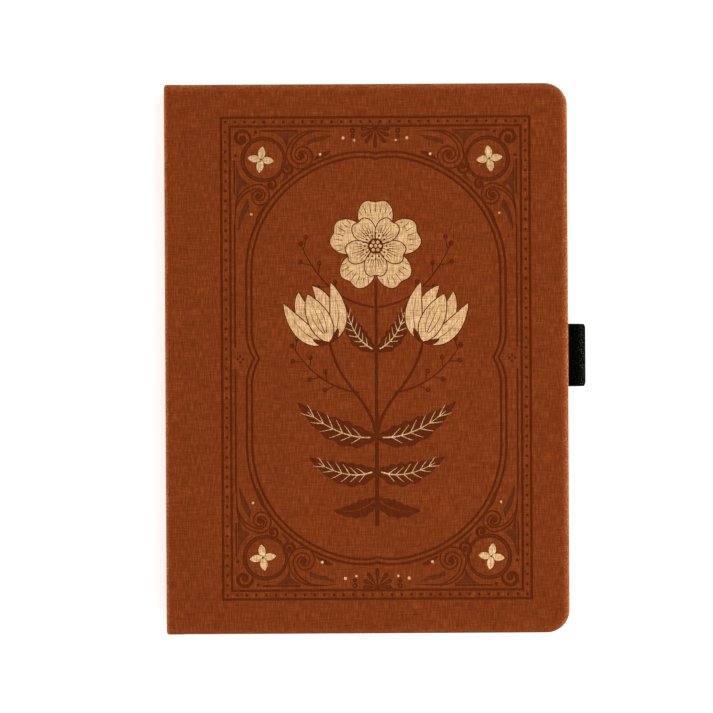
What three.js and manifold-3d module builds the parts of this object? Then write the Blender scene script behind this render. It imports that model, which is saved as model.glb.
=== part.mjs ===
// A hardcover dotted notebook, closed and lying on its back cover, in millimetres.
// +Z runs up through the front cover, +X towards the fore-edge and +Y towards the head.
// The origin is the centre of the back cover's outer face.
//
// The case is a front cover, a spine and a back cover, each of board wrapped in cloth.
// The block is ten sewn signatures in two halves, which part at the middle of the book.
// The pen loop is a strap of elastic whose ends are glued under the back endpaper.

import * as THREE from 'three';
import { mergeVertices } from 'three/addons/utils/BufferGeometryUtils.js';
import Module from 'manifold-3d';

const wasm = await Module();
wasm.setup();

// Case, seen from the front.
const coverWidth = 158.5;
const coverHeight = 216;
const foreCornerRadius = 9;
const spineCornerRadius = 1.6;
const coverEdgeRadius = 1;

// Layers of a cover, from the outside in.
const clothThickness = 0.4;
const boardThickness = 2.2;
const pastedownThickness = 0.15;
const glueLine = 0.05;
const turnInWidth = 15;
const boardEdgeRadius = 0.4;
const pastedownMargin = 4;
const pastedownCornerRadius = 6;
const pastedownSpineStart = 5;
const layerClearance = 0.3;

// Joint between a cover's board and the spine.
const spineSlit = 0.2;
const boardSetback = 8;
const jointClothThickness = 0.75;
const jointGrooveWidth = 6;
const jointGrooveDepth = 0.3;
const jointGrooveCentre = 6.4;

// Spine of the case.
const spineStripThickness = 1;
const spineStripMargin = 1.7;
const spineEdgeRadius = 1.6;
const hollowGap = 0.4;

// Paper block. The squares are what the covers stand out past the leaves.
const foreEdgeSquare = 3.6;
const headSquare = 3;
const leafThickness = 0.14;
const leafAir = 0.035;
const leafCornerRadius = 8;
const leavesPerSignature = 8;
const signaturesPerHalf = 5;
const foldDepth = 2.5;
const innerFoldDepth = 0.3;
const splitClearance = 0.05;
const endpaperClearance = 0.1;

// What is glued and sewn to the block's back.
const backAllowance = 0.6;
const threadThickness = 0.25;
const threadStitchWidth = 1.2;
const threadEndMargin = 17;
const threadStations = 6;
const liningThickness = 0.2;
const liningEndMargin = 10;
const liningInset = 0.2;
const endbandRadius = 0.8;
const endbandFlangeThickness = 0.25;
const endbandFlangeHeight = 8;

// Pocket on the back endpaper.
const pocketHeight = 130;
const pocketPanelThickness = 0.24;
const pocketInset = 2;
const pocketSpineInset = 10;
const gussetDepth = 10;
const gussetPaper = 0.1;
const gussetHeight = 0.3;
const pocketGlueLine = 0.03;
const thumbNotchRadius = 12;
const pocketFootHeight = 6;

// Pen loop.
const strapThickness = 1.1;
const strapWidth = 24.8;
const loopReach = 7.8;
const loopClearance = 0.6;
const loopHeadOffset = 1;
const loopRise = 6;
const tongueThickness = 1.6;
const tongueLength = 15;
const loopTipRadius = 0.25;
const loopTipRise = 1.5;
const loopRootReach = 0.6;
const slotClearance = 0.15;

// Straight runs that each arc is drawn with, divided by two.
const coverArcSteps = 6;
const leafArcSteps = 3;
const strapArcSteps = 14;
const foldArcSteps = 4;

// Levels of a cover above its outer face.
const boardBase = clothThickness + glueLine;
const boardTop = boardBase + boardThickness;
const turnInBase = boardTop + glueLine;
const clothTop = turnInBase + clothThickness;
const pastedownBase = clothTop + glueLine;
const coverThickness = pastedownBase + pastedownThickness;

// Levels of one half of the block above the plane where the halves part.
const leafPitch = leafThickness + leafAir;
const signaturePitch = leavesPerSignature * leafPitch;
const signatureHeight = signaturePitch - leafAir;
const flyleafBase = splitClearance + signaturesPerHalf * signaturePitch;
const halfHeight = flyleafBase + leafThickness;

// Levels of the whole notebook.
const gussetBase = coverThickness + pocketGlueLine;
const pocketPanelBase = gussetBase + gussetHeight + pocketGlueLine;
const pocketTop = pocketPanelBase + pocketPanelThickness;
const splitLevel = pocketTop + endpaperClearance + halfHeight;
const totalThickness = splitLevel + halfHeight + endpaperClearance + coverThickness;

// Places along X.
const spineFace = -coverWidth / 2;
const foreEdge = coverWidth / 2;
const spineThickness = 2 * clothThickness + 2 * glueLine + spineStripThickness;
const coverStart = spineFace + spineThickness + spineSlit;
const boardStart = spineFace + boardSetback;
const blockBack = spineFace + spineThickness + hollowGap + backAllowance;
const blockFore = foreEdge - foreEdgeSquare;
const leafHeight = coverHeight - 2 * headSquare;
const pastedownStart = spineFace + pastedownSpineStart;
const pastedownEnd = foreEdge - pastedownMargin;

const clothMaterial = new THREE.MeshStandardMaterial({ color: 0x823a19, roughness: 0.85, metalness: 0 });
const boardMaterial = new THREE.MeshStandardMaterial({ color: 0x8d8880, roughness: 0.95, metalness: 0 });
const paperMaterial = new THREE.MeshStandardMaterial({ color: 0xf4efe2, roughness: 0.9, metalness: 0 });
const endpaperMaterial = new THREE.MeshStandardMaterial({ color: 0xe9dcc0, roughness: 0.9, metalness: 0 });
const pocketMaterial = new THREE.MeshStandardMaterial({ color: 0xdfcfae, roughness: 0.9, metalness: 0 });
const elasticMaterial = new THREE.MeshStandardMaterial({ color: 0x0d0b08, roughness: 0.8, metalness: 0 });
const threadMaterial = new THREE.MeshStandardMaterial({ color: 0xf0ead8, roughness: 0.7, metalness: 0 });
const liningMaterial = new THREE.MeshStandardMaterial({ color: 0xd8cdb4, roughness: 0.95, metalness: 0 });
const endbandMaterial = new THREE.MeshStandardMaterial({ color: 0x5a2a14, roughness: 0.75, metalness: 0 });

function solid(geometry) {
  const bare = geometry.index ? geometry.toNonIndexed() : geometry.clone();
  bare.deleteAttribute('normal');
  bare.deleteAttribute('uv');
  const merged = mergeVertices(bare, 1e-5);
  return new wasm.Manifold(new wasm.Mesh({
    numProp: 3,
    vertProperties: new Float32Array(merged.attributes.position.array),
    triVerts: new Uint32Array(merged.index.array),
  }));
}

function geometryOf(body) {
  const mesh = body.getMesh();
  const geometry = new THREE.BufferGeometry();
  geometry.setAttribute('position', new THREE.BufferAttribute(new Float32Array(mesh.vertProperties), 3));
  geometry.setIndex(new THREE.BufferAttribute(new Uint32Array(mesh.triVerts), 1));
  geometry.computeVertexNormals();
  return geometry;
}

function named(name, shape, material) {
  const mesh = new THREE.Mesh(shape.isBufferGeometry ? shape : geometryOf(shape), material);
  mesh.name = name;
  return mesh;
}

// A rectangle from left to right, centred on the X axis, with its own radius at either end.
function outline(left, right, halfLength, leftRadius, rightRadius) {
  const shape = new THREE.Shape();
  shape.moveTo(left + leftRadius, -halfLength);
  shape.lineTo(right - rightRadius, -halfLength);
  if (rightRadius > 0) {
    shape.absarc(right - rightRadius, -halfLength + rightRadius, rightRadius, -Math.PI / 2, 0);
  }
  shape.lineTo(right, halfLength - rightRadius);
  if (rightRadius > 0) {
    shape.absarc(right - rightRadius, halfLength - rightRadius, rightRadius, 0, Math.PI / 2);
  }
  shape.lineTo(left + leftRadius, halfLength);
  if (leftRadius > 0) {
    shape.absarc(left + leftRadius, halfLength - leftRadius, leftRadius, Math.PI / 2, Math.PI);
  }
  shape.lineTo(left, -halfLength + leftRadius);
  if (leftRadius > 0) {
    shape.absarc(left + leftRadius, -halfLength + leftRadius, leftRadius, Math.PI, 1.5 * Math.PI);
  }
  return shape;
}

// A flat layer of an outline between two levels, with its rims rounded where asked.
function layer(shape, base, top, rimRadius = 0, curveSegments = leafArcSteps) {
  const geometry = new THREE.ExtrudeGeometry(shape, {
    depth: top - base - 2 * rimRadius,
    steps: 1,
    curveSegments,
    bevelEnabled: rimRadius > 0,
    bevelThickness: rimRadius,
    bevelSize: rimRadius,
    bevelOffset: -rimRadius,
    bevelSegments: 3,
  });
  geometry.translate(0, 0, base + rimRadius);
  return geometry;
}

// A section drawn in X and Z, run along Y for a length and centred on middleY.
function alongY(section, length, middleY = 0, curveSegments = foldArcSteps) {
  const geometry = new THREE.ExtrudeGeometry(section, {
    depth: length,
    steps: 1,
    curveSegments,
    bevelEnabled: false,
  });
  geometry.rotateX(Math.PI / 2);
  geometry.translate(0, middleY + length / 2, 0);
  return geometry;
}

function block(low, high) {
  const size = high.map((value, axis) => value - low[axis]);
  const geometry = new THREE.BoxGeometry(...size);
  geometry.translate(...low.map((value, axis) => value + size[axis] / 2));
  return geometry;
}

// The shallow groove pressed into the cloth between the spine and the board.
function jointGroove() {
  const halfWidth = jointGrooveWidth / 2;
  const radius = (halfWidth ** 2 + jointGrooveDepth ** 2) / (2 * jointGrooveDepth);
  const groove = new THREE.CylinderGeometry(radius, radius, coverHeight * 1.1, 96);
  groove.translate(spineFace + jointGrooveCentre, 0, jointGrooveDepth - radius);
  return groove;
}

// Where the pen strap's glued ends lie in the back cover, open above and at the fore-edge.
function tongueSlot() {
  const halfWidth = strapWidth / 2 + slotClearance;
  return block(
    [foreEdge - tongueLength - slotClearance, loopHeadOffset - halfWidth, tongueBase - glueLine],
    [foreEdge + coverEdgeRadius, loopHeadOffset + halfWidth, coverThickness],
  );
}

// Cloth over the outside of a board, round three edges and turned in on the inside.
function coverCloth(hasSlot) {
  const inset = clothThickness + glueLine;
  const overrun = spineFace - coverEdgeRadius;
  const skin = solid(layer(
    outline(overrun, foreEdge, coverHeight / 2, 0, foreCornerRadius),
    0,
    clothTop,
    coverEdgeRadius,
    coverArcSteps,
  ));
  const boardSpace = solid(layer(
    outline(boardStart - layerClearance, foreEdge - clothThickness,
      coverHeight / 2 - clothThickness, 0, foreCornerRadius - clothThickness),
    clothThickness,
    turnInBase,
    boardEdgeRadius - glueLine,
    coverArcSteps,
  ));
  const jointSpace = solid(block(
    [spineFace - foreCornerRadius, -coverHeight / 2 + inset, jointClothThickness],
    [boardStart + boardEdgeRadius, coverHeight / 2 - inset, turnInBase],
  ));
  const window = solid(layer(
    outline(spineFace - turnInWidth, foreEdge - turnInWidth,
      coverHeight / 2 - turnInWidth, 0, foreCornerRadius / 2),
    turnInBase - boardEdgeRadius,
    clothTop + coverEdgeRadius,
  ));
  const spineSide = solid(block(
    [spineFace - coverWidth, -coverHeight, -coverThickness],
    [coverStart, coverHeight, coverThickness + clothTop],
  ));
  let cloth = skin
    .subtract(boardSpace)
    .subtract(jointSpace)
    .subtract(window)
    .subtract(spineSide)
    .subtract(solid(jointGroove()));
  if (hasSlot) {
    cloth = cloth.subtract(solid(tongueSlot()));
  }
  return cloth;
}

function board(hasSlot) {
  const inset = clothThickness + glueLine;
  const plate = solid(layer(
    outline(boardStart, foreEdge - inset, coverHeight / 2 - inset, 0, foreCornerRadius - inset),
    boardBase,
    boardTop,
    boardEdgeRadius,
    coverArcSteps,
  ));
  return hasSlot ? plate.subtract(solid(tongueSlot())) : plate;
}

// The glued half of an endpaper, which drops onto the board inside the turn-ins.
function pastedown() {
  const sheet = solid(layer(
    outline(pastedownStart, pastedownEnd, coverHeight / 2 - pastedownMargin, 0, pastedownCornerRadius),
    pastedownBase,
    coverThickness,
  ));
  const windowInset = turnInWidth + layerClearance;
  const dropped = solid(layer(
    outline(boardStart, foreEdge - windowInset, coverHeight / 2 - windowInset, 0, foreCornerRadius / 2),
    turnInBase,
    pastedownBase + pastedownThickness / 2,
  ));
  return sheet.add(dropped);
}

// Cloth of the spine: a channel round the strip, closed and turned in at head and tail.
function spineCloth() {
  const inner = spineFace + spineThickness;
  const section = new THREE.Shape();
  section.moveTo(inner, 0);
  section.lineTo(inner, totalThickness);
  section.lineTo(spineFace + spineEdgeRadius, totalThickness);
  section.absarc(spineFace + spineEdgeRadius, totalThickness - spineEdgeRadius, spineEdgeRadius,
    Math.PI / 2, Math.PI);
  section.lineTo(spineFace, spineEdgeRadius);
  section.absarc(spineFace + spineEdgeRadius, spineEdgeRadius, spineEdgeRadius, Math.PI, 1.5 * Math.PI);
  const slab = solid(alongY(section, coverHeight));
  const plan = solid(layer(
    outline(spineFace, foreEdge, coverHeight / 2, spineCornerRadius, 0),
    -coverEdgeRadius,
    totalThickness + coverEdgeRadius,
  ));
  const stripMargin = spineStripMargin - glueLine;
  const stripSpace = solid(block(
    [spineFace + clothThickness, -coverHeight / 2 + clothThickness, stripMargin],
    [inner - clothThickness, coverHeight / 2 - clothThickness, totalThickness - stripMargin],
  ));
  const window = solid(block(
    [spineFace + clothThickness, -coverHeight / 2 + turnInWidth, stripMargin],
    [inner + clothThickness, coverHeight / 2 - turnInWidth, totalThickness - stripMargin],
  ));
  return slab.intersect(plan).subtract(stripSpace).subtract(window);
}

function spineStrip() {
  const inset = clothThickness + glueLine;
  return block(
    [spineFace + inset, -coverHeight / 2 + inset, spineStripMargin],
    [spineFace + inset + spineStripThickness, coverHeight / 2 - inset, totalThickness - spineStripMargin],
  );
}

// Plan of a leaf, with its fore-edge corners rounded.
function leafOutline() {
  return outline(blockBack, blockFore, leafHeight / 2, 0, leafCornerRadius);
}

// Sheets folded one inside the other, seen from the tail: the leaves lie apart with a
// thread of air between them, and close up where the fold is sewn.
function signature() {
  const foldRadius = signatureHeight / 2;
  const section = new THREE.Shape();
  section.moveTo(blockBack + foldRadius, 0);
  for (let leaf = 0; leaf < leavesPerSignature; leaf += 1) {
    const base = leaf * leafPitch;
    section.lineTo(blockFore, base);
    section.lineTo(blockFore, base + leafThickness);
    if (leaf < leavesPerSignature - 1) {
      const isInnerFold = leaf === leavesPerSignature / 2 - 1;
      const slotEnd = blockBack + (isInnerFold ? innerFoldDepth : foldDepth);
      section.lineTo(slotEnd, base + leafThickness);
      section.lineTo(slotEnd, base + leafPitch);
    }
  }
  section.lineTo(blockBack + foldRadius, signatureHeight);
  section.absarc(blockBack + foldRadius, foldRadius, foldRadius, Math.PI / 2, 1.5 * Math.PI);
  const sheets = solid(alongY(section, leafHeight));
  const plan = solid(layer(leafOutline(), -leafPitch, signatureHeight + leafPitch));
  return sheets.intersect(plan);
}

// Link stitches that tie the folds of one half of the block together at each station.
function sewingThread() {
  const outer = blockBack - glueLine - threadThickness;
  const inner = blockBack - glueLine;
  const top = flyleafBase - leafAir;
  const reach = leafHeight / 2 - threadEndMargin;
  const stationPitch = 2 * reach / (threadStations - 1);
  let thread = solid(block(
    [outer, -reach, splitClearance + signatureHeight / 2 - threadThickness],
    [inner, reach, splitClearance + signatureHeight / 2 + threadThickness],
  ));
  for (let station = 0; station < threadStations; station += 1) {
    const y = station * stationPitch - reach;
    thread = thread.add(solid(block(
      [outer, y - threadStitchWidth / 2, splitClearance + liningInset],
      [inner, y + threadStitchWidth / 2, top - liningInset],
    )));
  }
  return thread;
}

function spineLining() {
  const inner = blockBack - 2 * glueLine - threadThickness;
  const reach = leafHeight / 2 - liningEndMargin;
  return block(
    [inner - liningThickness, -reach, splitClearance + liningInset],
    [inner, reach, halfHeight - liningInset],
  );
}

// Half an endband: a beaded edge standing over the block, with its flange glued to the back.
function endband(end) {
  const blockEnd = leafHeight / 2 + glueLine;
  const flangeOuter = blockBack - glueLine - endbandFlangeThickness;
  const beadX = flangeOuter + endbandRadius;
  const shape = new THREE.Shape();
  shape.moveTo(flangeOuter, blockEnd - endbandFlangeHeight);
  shape.lineTo(flangeOuter + endbandFlangeThickness, blockEnd - endbandFlangeHeight);
  shape.lineTo(flangeOuter + endbandFlangeThickness, blockEnd);
  shape.lineTo(beadX, blockEnd);
  shape.absarc(beadX, blockEnd + endbandRadius, endbandRadius, -Math.PI / 2, Math.PI);
  const geometry = layer(shape, splitClearance + liningInset, halfHeight - liningInset);
  if (end < 0) {
    geometry.rotateX(Math.PI);
    geometry.translate(0, 0, splitClearance + halfHeight);
  }
  return geometry;
}

// The free card panel of the pocket, with a thumb notch in its mouth and a glued foot.
function pocketPanel() {
  const left = pastedownStart + pocketSpineInset;
  const right = pastedownEnd - pocketInset;
  const bottom = -coverHeight / 2 + pastedownMargin + pocketInset;
  const mouth = bottom + pocketHeight;
  const middle = (left + right) / 2;
  const shape = new THREE.Shape();
  shape.moveTo(left, bottom);
  shape.lineTo(right - pastedownCornerRadius, bottom);
  shape.absarc(right - pastedownCornerRadius, bottom + pastedownCornerRadius, pastedownCornerRadius,
    -Math.PI / 2, 0);
  shape.lineTo(right, mouth);
  shape.lineTo(middle + thumbNotchRadius, mouth);
  shape.absarc(middle, mouth, thumbNotchRadius, 0, -Math.PI, true);
  shape.lineTo(left, mouth);
  const panel = solid(layer(shape, pocketPanelBase, pocketTop, 0, coverArcSteps));
  const foot = solid(block(
    [left + gussetDepth + layerClearance, bottom, gussetBase],
    [right - gussetDepth - layerClearance, bottom + pocketFootHeight, pocketPanelBase + gussetPaper],
  ));
  return panel.add(foot);
}

// A paper gusset folded flat, with its fold towards the middle of the pocket.
function pocketGusset() {
  const section = new THREE.Shape();
  section.moveTo(0, 0);
  section.lineTo(gussetDepth, 0);
  section.lineTo(gussetDepth, gussetHeight);
  section.lineTo(0, gussetHeight);
  section.lineTo(0, gussetHeight - gussetPaper);
  section.lineTo(gussetDepth - 2 * gussetPaper, gussetHeight - gussetPaper);
  section.lineTo(gussetDepth - 2 * gussetPaper, gussetPaper);
  section.lineTo(0, gussetPaper);
  return section;
}

function gussetRun(side) {
  const length = pocketHeight - pastedownCornerRadius - pocketInset;
  const bottom = -coverHeight / 2 + pastedownMargin + pocketInset + pastedownCornerRadius;
  const geometry = alongY(pocketGusset(), length, bottom + length / 2);
  if (side > 0) {
    geometry.rotateZ(Math.PI);
    geometry.translate(0, 2 * bottom + length, 0);
  }
  return geometry;
}

// Levels and places of the strap, from the board that its ends lie in. Its bore is as
// wide as the reach past the cover and the square in front of the leaves leave room for.
const tongueTop = clothTop;
const tongueBase = tongueTop - tongueThickness;
const strapOuterRadius = (loopReach + foreEdgeSquare - loopClearance) / 2;
const loopBoreRadius = strapOuterRadius - strapThickness;
const loopCentre = new THREE.Vector2(
  foreEdge + loopReach - strapOuterRadius,
  (tongueBase + tongueTop) / 2 + loopRise,
);
const loopRoot = new THREE.Vector2(foreEdge + loopRootReach, (tongueBase + tongueTop) / 2);

// The outline of a belt round a large and a small circle.
function beltOutline(target, centre, radius, tip, tipRadius) {
  const towards = Math.atan2(tip.y - centre.y, tip.x - centre.x);
  const spread = Math.acos((radius - tipRadius) / centre.distanceTo(tip));
  target.absarc(centre.x, centre.y, radius, towards + spread, towards - spread + 2 * Math.PI);
  target.absarc(tip.x, tip.y, tipRadius, towards - spread, towards + spread);
  return target;
}

// The strap laid round a pen, with both ends brought together and glued in the cover.
function penLoop() {
  const section = beltOutline(new THREE.Shape(), loopCentre, strapOuterRadius, loopRoot,
    tongueThickness / 2);
  const innerTip = loopRoot.clone().lerp(loopCentre, loopTipRise / loopRoot.distanceTo(loopCentre));
  section.holes.push(beltOutline(new THREE.Path(), loopCentre, loopBoreRadius, innerTip, loopTipRadius));
  const loop = solid(alongY(section, strapWidth, loopHeadOffset, strapArcSteps));
  const tongue = solid(block(
    [foreEdge - tongueLength, loopHeadOffset - strapWidth / 2, tongueBase],
    [loopRoot.x, loopHeadOffset + strapWidth / 2, tongueTop],
  ));
  return loop.add(tongue);
}

// A cover with its outer face down. The front cover is the same, turned over.
function cover(side, hasSlot) {
  const group = new THREE.Group();
  group.add(named(`${side}_cover_cloth`, coverCloth(hasSlot), clothMaterial));
  group.add(named(`${side}_board`, board(hasSlot), boardMaterial));
  group.add(named(`${side}_pastedown`, pastedown(), endpaperMaterial));
  return group;
}

// Half the block, standing on the plane where the halves part.
function blockHalf(side, isTurned, numberOf) {
  const group = new THREE.Group();
  for (let index = 0; index < signaturesPerHalf; index += 1) {
    const number = String(numberOf(index)).padStart(2, '0');
    const mesh = named(`signature_${number}`, signature(), paperMaterial);
    mesh.position.z = splitClearance + index * signaturePitch;
    group.add(mesh);
  }
  const flyleaf = layer(leafOutline(), flyleafBase, halfHeight);
  group.add(named(`${side}_flyleaf`, flyleaf, endpaperMaterial));
  group.add(named(`sewing_thread_${side}`, sewingThread(), threadMaterial));
  group.add(named(`spine_lining_${side}`, spineLining(), liningMaterial));
  group.add(named(`endband_head_${side}`, endband(isTurned ? -1 : 1), endbandMaterial));
  group.add(named(`endband_tail_${side}`, endband(isTurned ? 1 : -1), endbandMaterial));
  return group;
}

function pocket() {
  const group = new THREE.Group();
  const spineGusset = named('pocket_gusset_spine_side', gussetRun(-1), pocketMaterial);
  spineGusset.position.set(pastedownStart + pocketSpineInset, 0, gussetBase);
  const foreGusset = named('pocket_gusset_fore_side', gussetRun(1), pocketMaterial);
  foreGusset.position.set(pastedownEnd - pocketInset, 0, gussetBase);
  group.add(named('pocket_panel', pocketPanel(), pocketMaterial));
  group.add(spineGusset);
  group.add(foreGusset);
  return group;
}

const notebook = new THREE.Group();

const backCover = cover('back', true);
backCover.add(pocket());
backCover.add(named('pen_loop', penLoop(), elasticMaterial));
notebook.add(backCover);

const spine = new THREE.Group();
spine.add(named('spine_cloth', spineCloth(), clothMaterial));
spine.add(named('spine_strip', spineStrip(), boardMaterial));
notebook.add(spine);

const frontCover = cover('front', false);
frontCover.rotation.x = Math.PI;
frontCover.position.z = totalThickness;
notebook.add(frontCover);

const backHalf = blockHalf('back', true, (index) => signaturesPerHalf + 1 + index);
backHalf.rotation.x = Math.PI;
backHalf.position.z = splitLevel;
notebook.add(backHalf);

const frontHalf = blockHalf('front', false, (index) => signaturesPerHalf - index);
frontHalf.position.z = splitLevel;
notebook.add(frontHalf);

export default notebook;
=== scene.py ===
import bpy
import bmesh
import numpy as np
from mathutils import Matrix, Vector
from mathutils.geometry import delaunay_2d_cdt


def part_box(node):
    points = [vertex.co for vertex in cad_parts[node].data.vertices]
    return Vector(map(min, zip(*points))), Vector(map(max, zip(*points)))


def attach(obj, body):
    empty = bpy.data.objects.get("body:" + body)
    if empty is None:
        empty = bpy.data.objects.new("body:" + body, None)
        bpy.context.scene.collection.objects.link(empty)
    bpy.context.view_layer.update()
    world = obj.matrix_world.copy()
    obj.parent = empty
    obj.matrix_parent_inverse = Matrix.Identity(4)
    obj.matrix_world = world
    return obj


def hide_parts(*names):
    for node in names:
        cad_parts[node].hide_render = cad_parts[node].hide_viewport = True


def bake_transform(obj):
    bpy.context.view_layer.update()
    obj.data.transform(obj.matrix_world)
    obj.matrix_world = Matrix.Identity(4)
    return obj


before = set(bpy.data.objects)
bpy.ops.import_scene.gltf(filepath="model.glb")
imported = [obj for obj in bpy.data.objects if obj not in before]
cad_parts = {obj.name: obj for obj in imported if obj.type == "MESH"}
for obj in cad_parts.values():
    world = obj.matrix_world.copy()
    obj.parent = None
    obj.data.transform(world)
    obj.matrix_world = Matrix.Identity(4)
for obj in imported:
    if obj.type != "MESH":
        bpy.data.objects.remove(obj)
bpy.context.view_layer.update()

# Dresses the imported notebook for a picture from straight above.
# Lengths are written in millimetres and become metres when a mesh is made.
mm = 0.001
pi = np.pi
scene = bpy.context.scene

book = {
    "spineFace": -79.25,
    "foreEdge": 79.25,
    "halfHeight": 108.0,
    "thickness": 21.78,
    "seam": -67.25,          # where a cover's cloth piece meets the spine's
}


def addObject(name, data):
    made = bpy.data.objects.new(name, data)
    scene.collection.objects.link(made)
    return made


# Camera and light

view = {
    "lens": 135.0,
    "sensor": 36.0,
    "distance": 1050.0,      # above the front cover
    "aim": (-4.01, 0.877),
    "roll": -0.31,
    "clip": (0.01, 20),      # metres
}
camera = bpy.data.cameras.new("camera")
camera.lens, camera.sensor_width = view["lens"], view["sensor"]
camera.clip_start, camera.clip_end = view["clip"]
cameraObject = addObject("camera", camera)
cameraObject.location = np.array([*view["aim"], view["distance"] + book["thickness"]]) * mm
cameraObject.rotation_euler = (0, 0, np.radians(view["roll"]))
scene.camera = cameraObject
scene.view_settings.view_transform = "Standard"

lamps = {                    # metres and watts
    "lampOverhead": {"place": (0.25, -0.3, 1.5), "size": 1.4, "power": 11.95},
    "lampRight": {"place": (1.5, 0.2, 0.17), "size": 0.5, "power": 27},
    "lampLeft": {"place": (-1.5, 0.1, 0.17), "size": 0.6, "power": 10},
}
lampTarget = Vector((0, 0, 0.01))
studio = {"Color": (0.98, 0.98, 1.0, 1), "Strength": 0.46}

for name, lamp in lamps.items():
    light = bpy.data.lights.new(name, "AREA")
    light.size, light.energy = lamp["size"], lamp["power"]
    lightObject = addObject(name, light)
    lightObject.location = lamp["place"]
    lightObject.rotation_euler = (lampTarget - Vector(lamp["place"])).to_track_quat("-Z", "Y").to_euler()
scene.world = bpy.data.worlds.new("studio")
scene.world.use_nodes = True
for label, value in studio.items():
    scene.world.node_tree.nodes["Background"].inputs[label].default_value = value
print("camera and light set")

# Mesh helpers


# a grid of points becomes quads between neighbouring rows and columns
def gridFaces(rows, columns, closeColumns=False, closeRows=False):
    index = np.arange(rows * columns).reshape(rows, columns)
    if closeColumns:
        index = np.hstack([index, index[:, :1]])
    if closeRows:
        index = np.vstack([index, index[:1]])
    quads = np.stack([index[:-1, :-1], index[1:, :-1], index[1:, 1:], index[:-1, 1:]], -1)
    return quads.reshape(-1, 4)


# faces of a closed tube: the quads round it and a lid at each end
def tubeFaces(rows, columns, start=0):
    lid = start + np.arange(columns)
    return [*(gridFaces(rows, columns, closeColumns=True) + start), lid, lid + (rows - 1) * columns]


# coordinates given as rows, columns or whole grids, spread over one grid of points
def gridPoints(*coordinates):
    return np.stack(np.broadcast_arrays(*coordinates), -1)


def asRows(grid):
    return grid.reshape(-1, grid.shape[-1])


# two grids of points, one over the other, joined round their four sides
def closedShell(first, second):
    rows, columns = first.shape[:2]
    count = rows * columns
    quads = gridFaces(rows, columns)
    index = np.arange(count).reshape(rows, columns)
    rim = np.r_[index[0], index[1:, -1], index[-1, -2::-1], index[-2:0:-1, 0]]
    onwards = np.roll(rim, -1)
    sides = np.stack([rim, onwards, onwards + count, rim + count], -1)
    return np.vstack([asRows(first), asRows(second)]), np.vstack([quads, quads + count, sides])


# way run along a path up to each of its points
def runLength(path):
    return np.r_[0, np.cumsum(np.linalg.norm(np.diff(path, axis=0), axis=1))]


def smoothStep(value, low, high):
    share = np.clip((value - low) / (high - low), 0, 1)
    return share * share * (3 - 2 * share)


# pieces are drawn for the back of the book; the front's lie as far below its top
def turnToFront(points):
    points[..., 2] = book["thickness"] - points[..., 2]


# corners of a node's box in millimetres
def boxOf(node):
    return np.array([list(corner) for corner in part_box(node)]) / mm


# points in millimetres, faces as index arrays of any length, one sheet coordinate for each point
def putMesh(name, points, faces, materials, sheet=None, faceMaterials=None, mergeBelow=0.002,
            sharpAngle=32, wornAndLit=None):
    mesh = bpy.data.meshes.new(name)
    mesh.from_pydata((points * mm).tolist(), [], [list(map(int, face)) for face in faces])
    for material in materials:
        mesh.materials.append(material)
    if sheet is not None:
        corners = np.zeros(len(mesh.loops), int)
        mesh.loops.foreach_get("vertex_index", corners)
        layer = mesh.uv_layers.new(name="sheet")
        layer.data.foreach_set("uv", (sheet[corners] * mm).ravel())
    if faceMaterials is not None:
        mesh.polygons.foreach_set("material_index", np.asarray(faceMaterials, np.int32))
    # share of each point painted lighter at the edges: rubbed wear and painted highlight
    if wornAndLit is not None:
        layer = mesh.attributes.new("wornAndLit", "FLOAT", "POINT")
        layer.data.foreach_set("value", np.asarray(wornAndLit, np.float32))
    work = bmesh.new()
    work.from_mesh(mesh)
    bmesh.ops.remove_doubles(work, verts=work.verts, dist=mergeBelow * mm)
    bmesh.ops.dissolve_degenerate(work, dist=1e-8, edges=work.edges)
    bmesh.ops.recalc_face_normals(work, faces=work.faces)
    openEdges = sum(1 for edge in work.edges if not edge.is_manifold)
    work.to_mesh(mesh)
    work.free()
    mesh.shade_smooth()
    mesh.set_sharp_from_angle(angle=np.radians(sharpAngle))
    print(name, len(mesh.polygons), "faces", openEdges, "open edges")
    return addObject(name, mesh)


# Shader helpers


def srgb(red, green, blue):
    value = np.array([red, green, blue]) / 255
    return tuple(np.where(value <= 0.04045, value / 12.92, ((value + 0.055) / 1.055) ** 2.4))


def newNode(tree, kind, **settings):
    node = tree.nodes.new(kind)
    for key, value in settings.items():
        setattr(node, key, value)
    return node


# a signal is linked to the socket, anything else is set on it; a colour of three numbers gets its alpha
def feed(socket, value):
    if isinstance(value, Signal):
        socket.id_data.links.new(value.socket, socket)
    elif socket.type == "RGBA":
        socket.default_value = (*value, 1)
    else:
        socket.default_value = value


def feedAll(sockets, values):
    for key, value in values.items():
        feed(sockets[key], value)


# one Math node in the tree of the signals among its values
def calculate(operation, *values):
    tree = next(value.socket.id_data for value in values if isinstance(value, Signal))
    node = newNode(tree, "ShaderNodeMath", operation=operation)
    feedAll(node.inputs, dict(enumerate(values)))
    return Signal(node.outputs[0])


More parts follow.
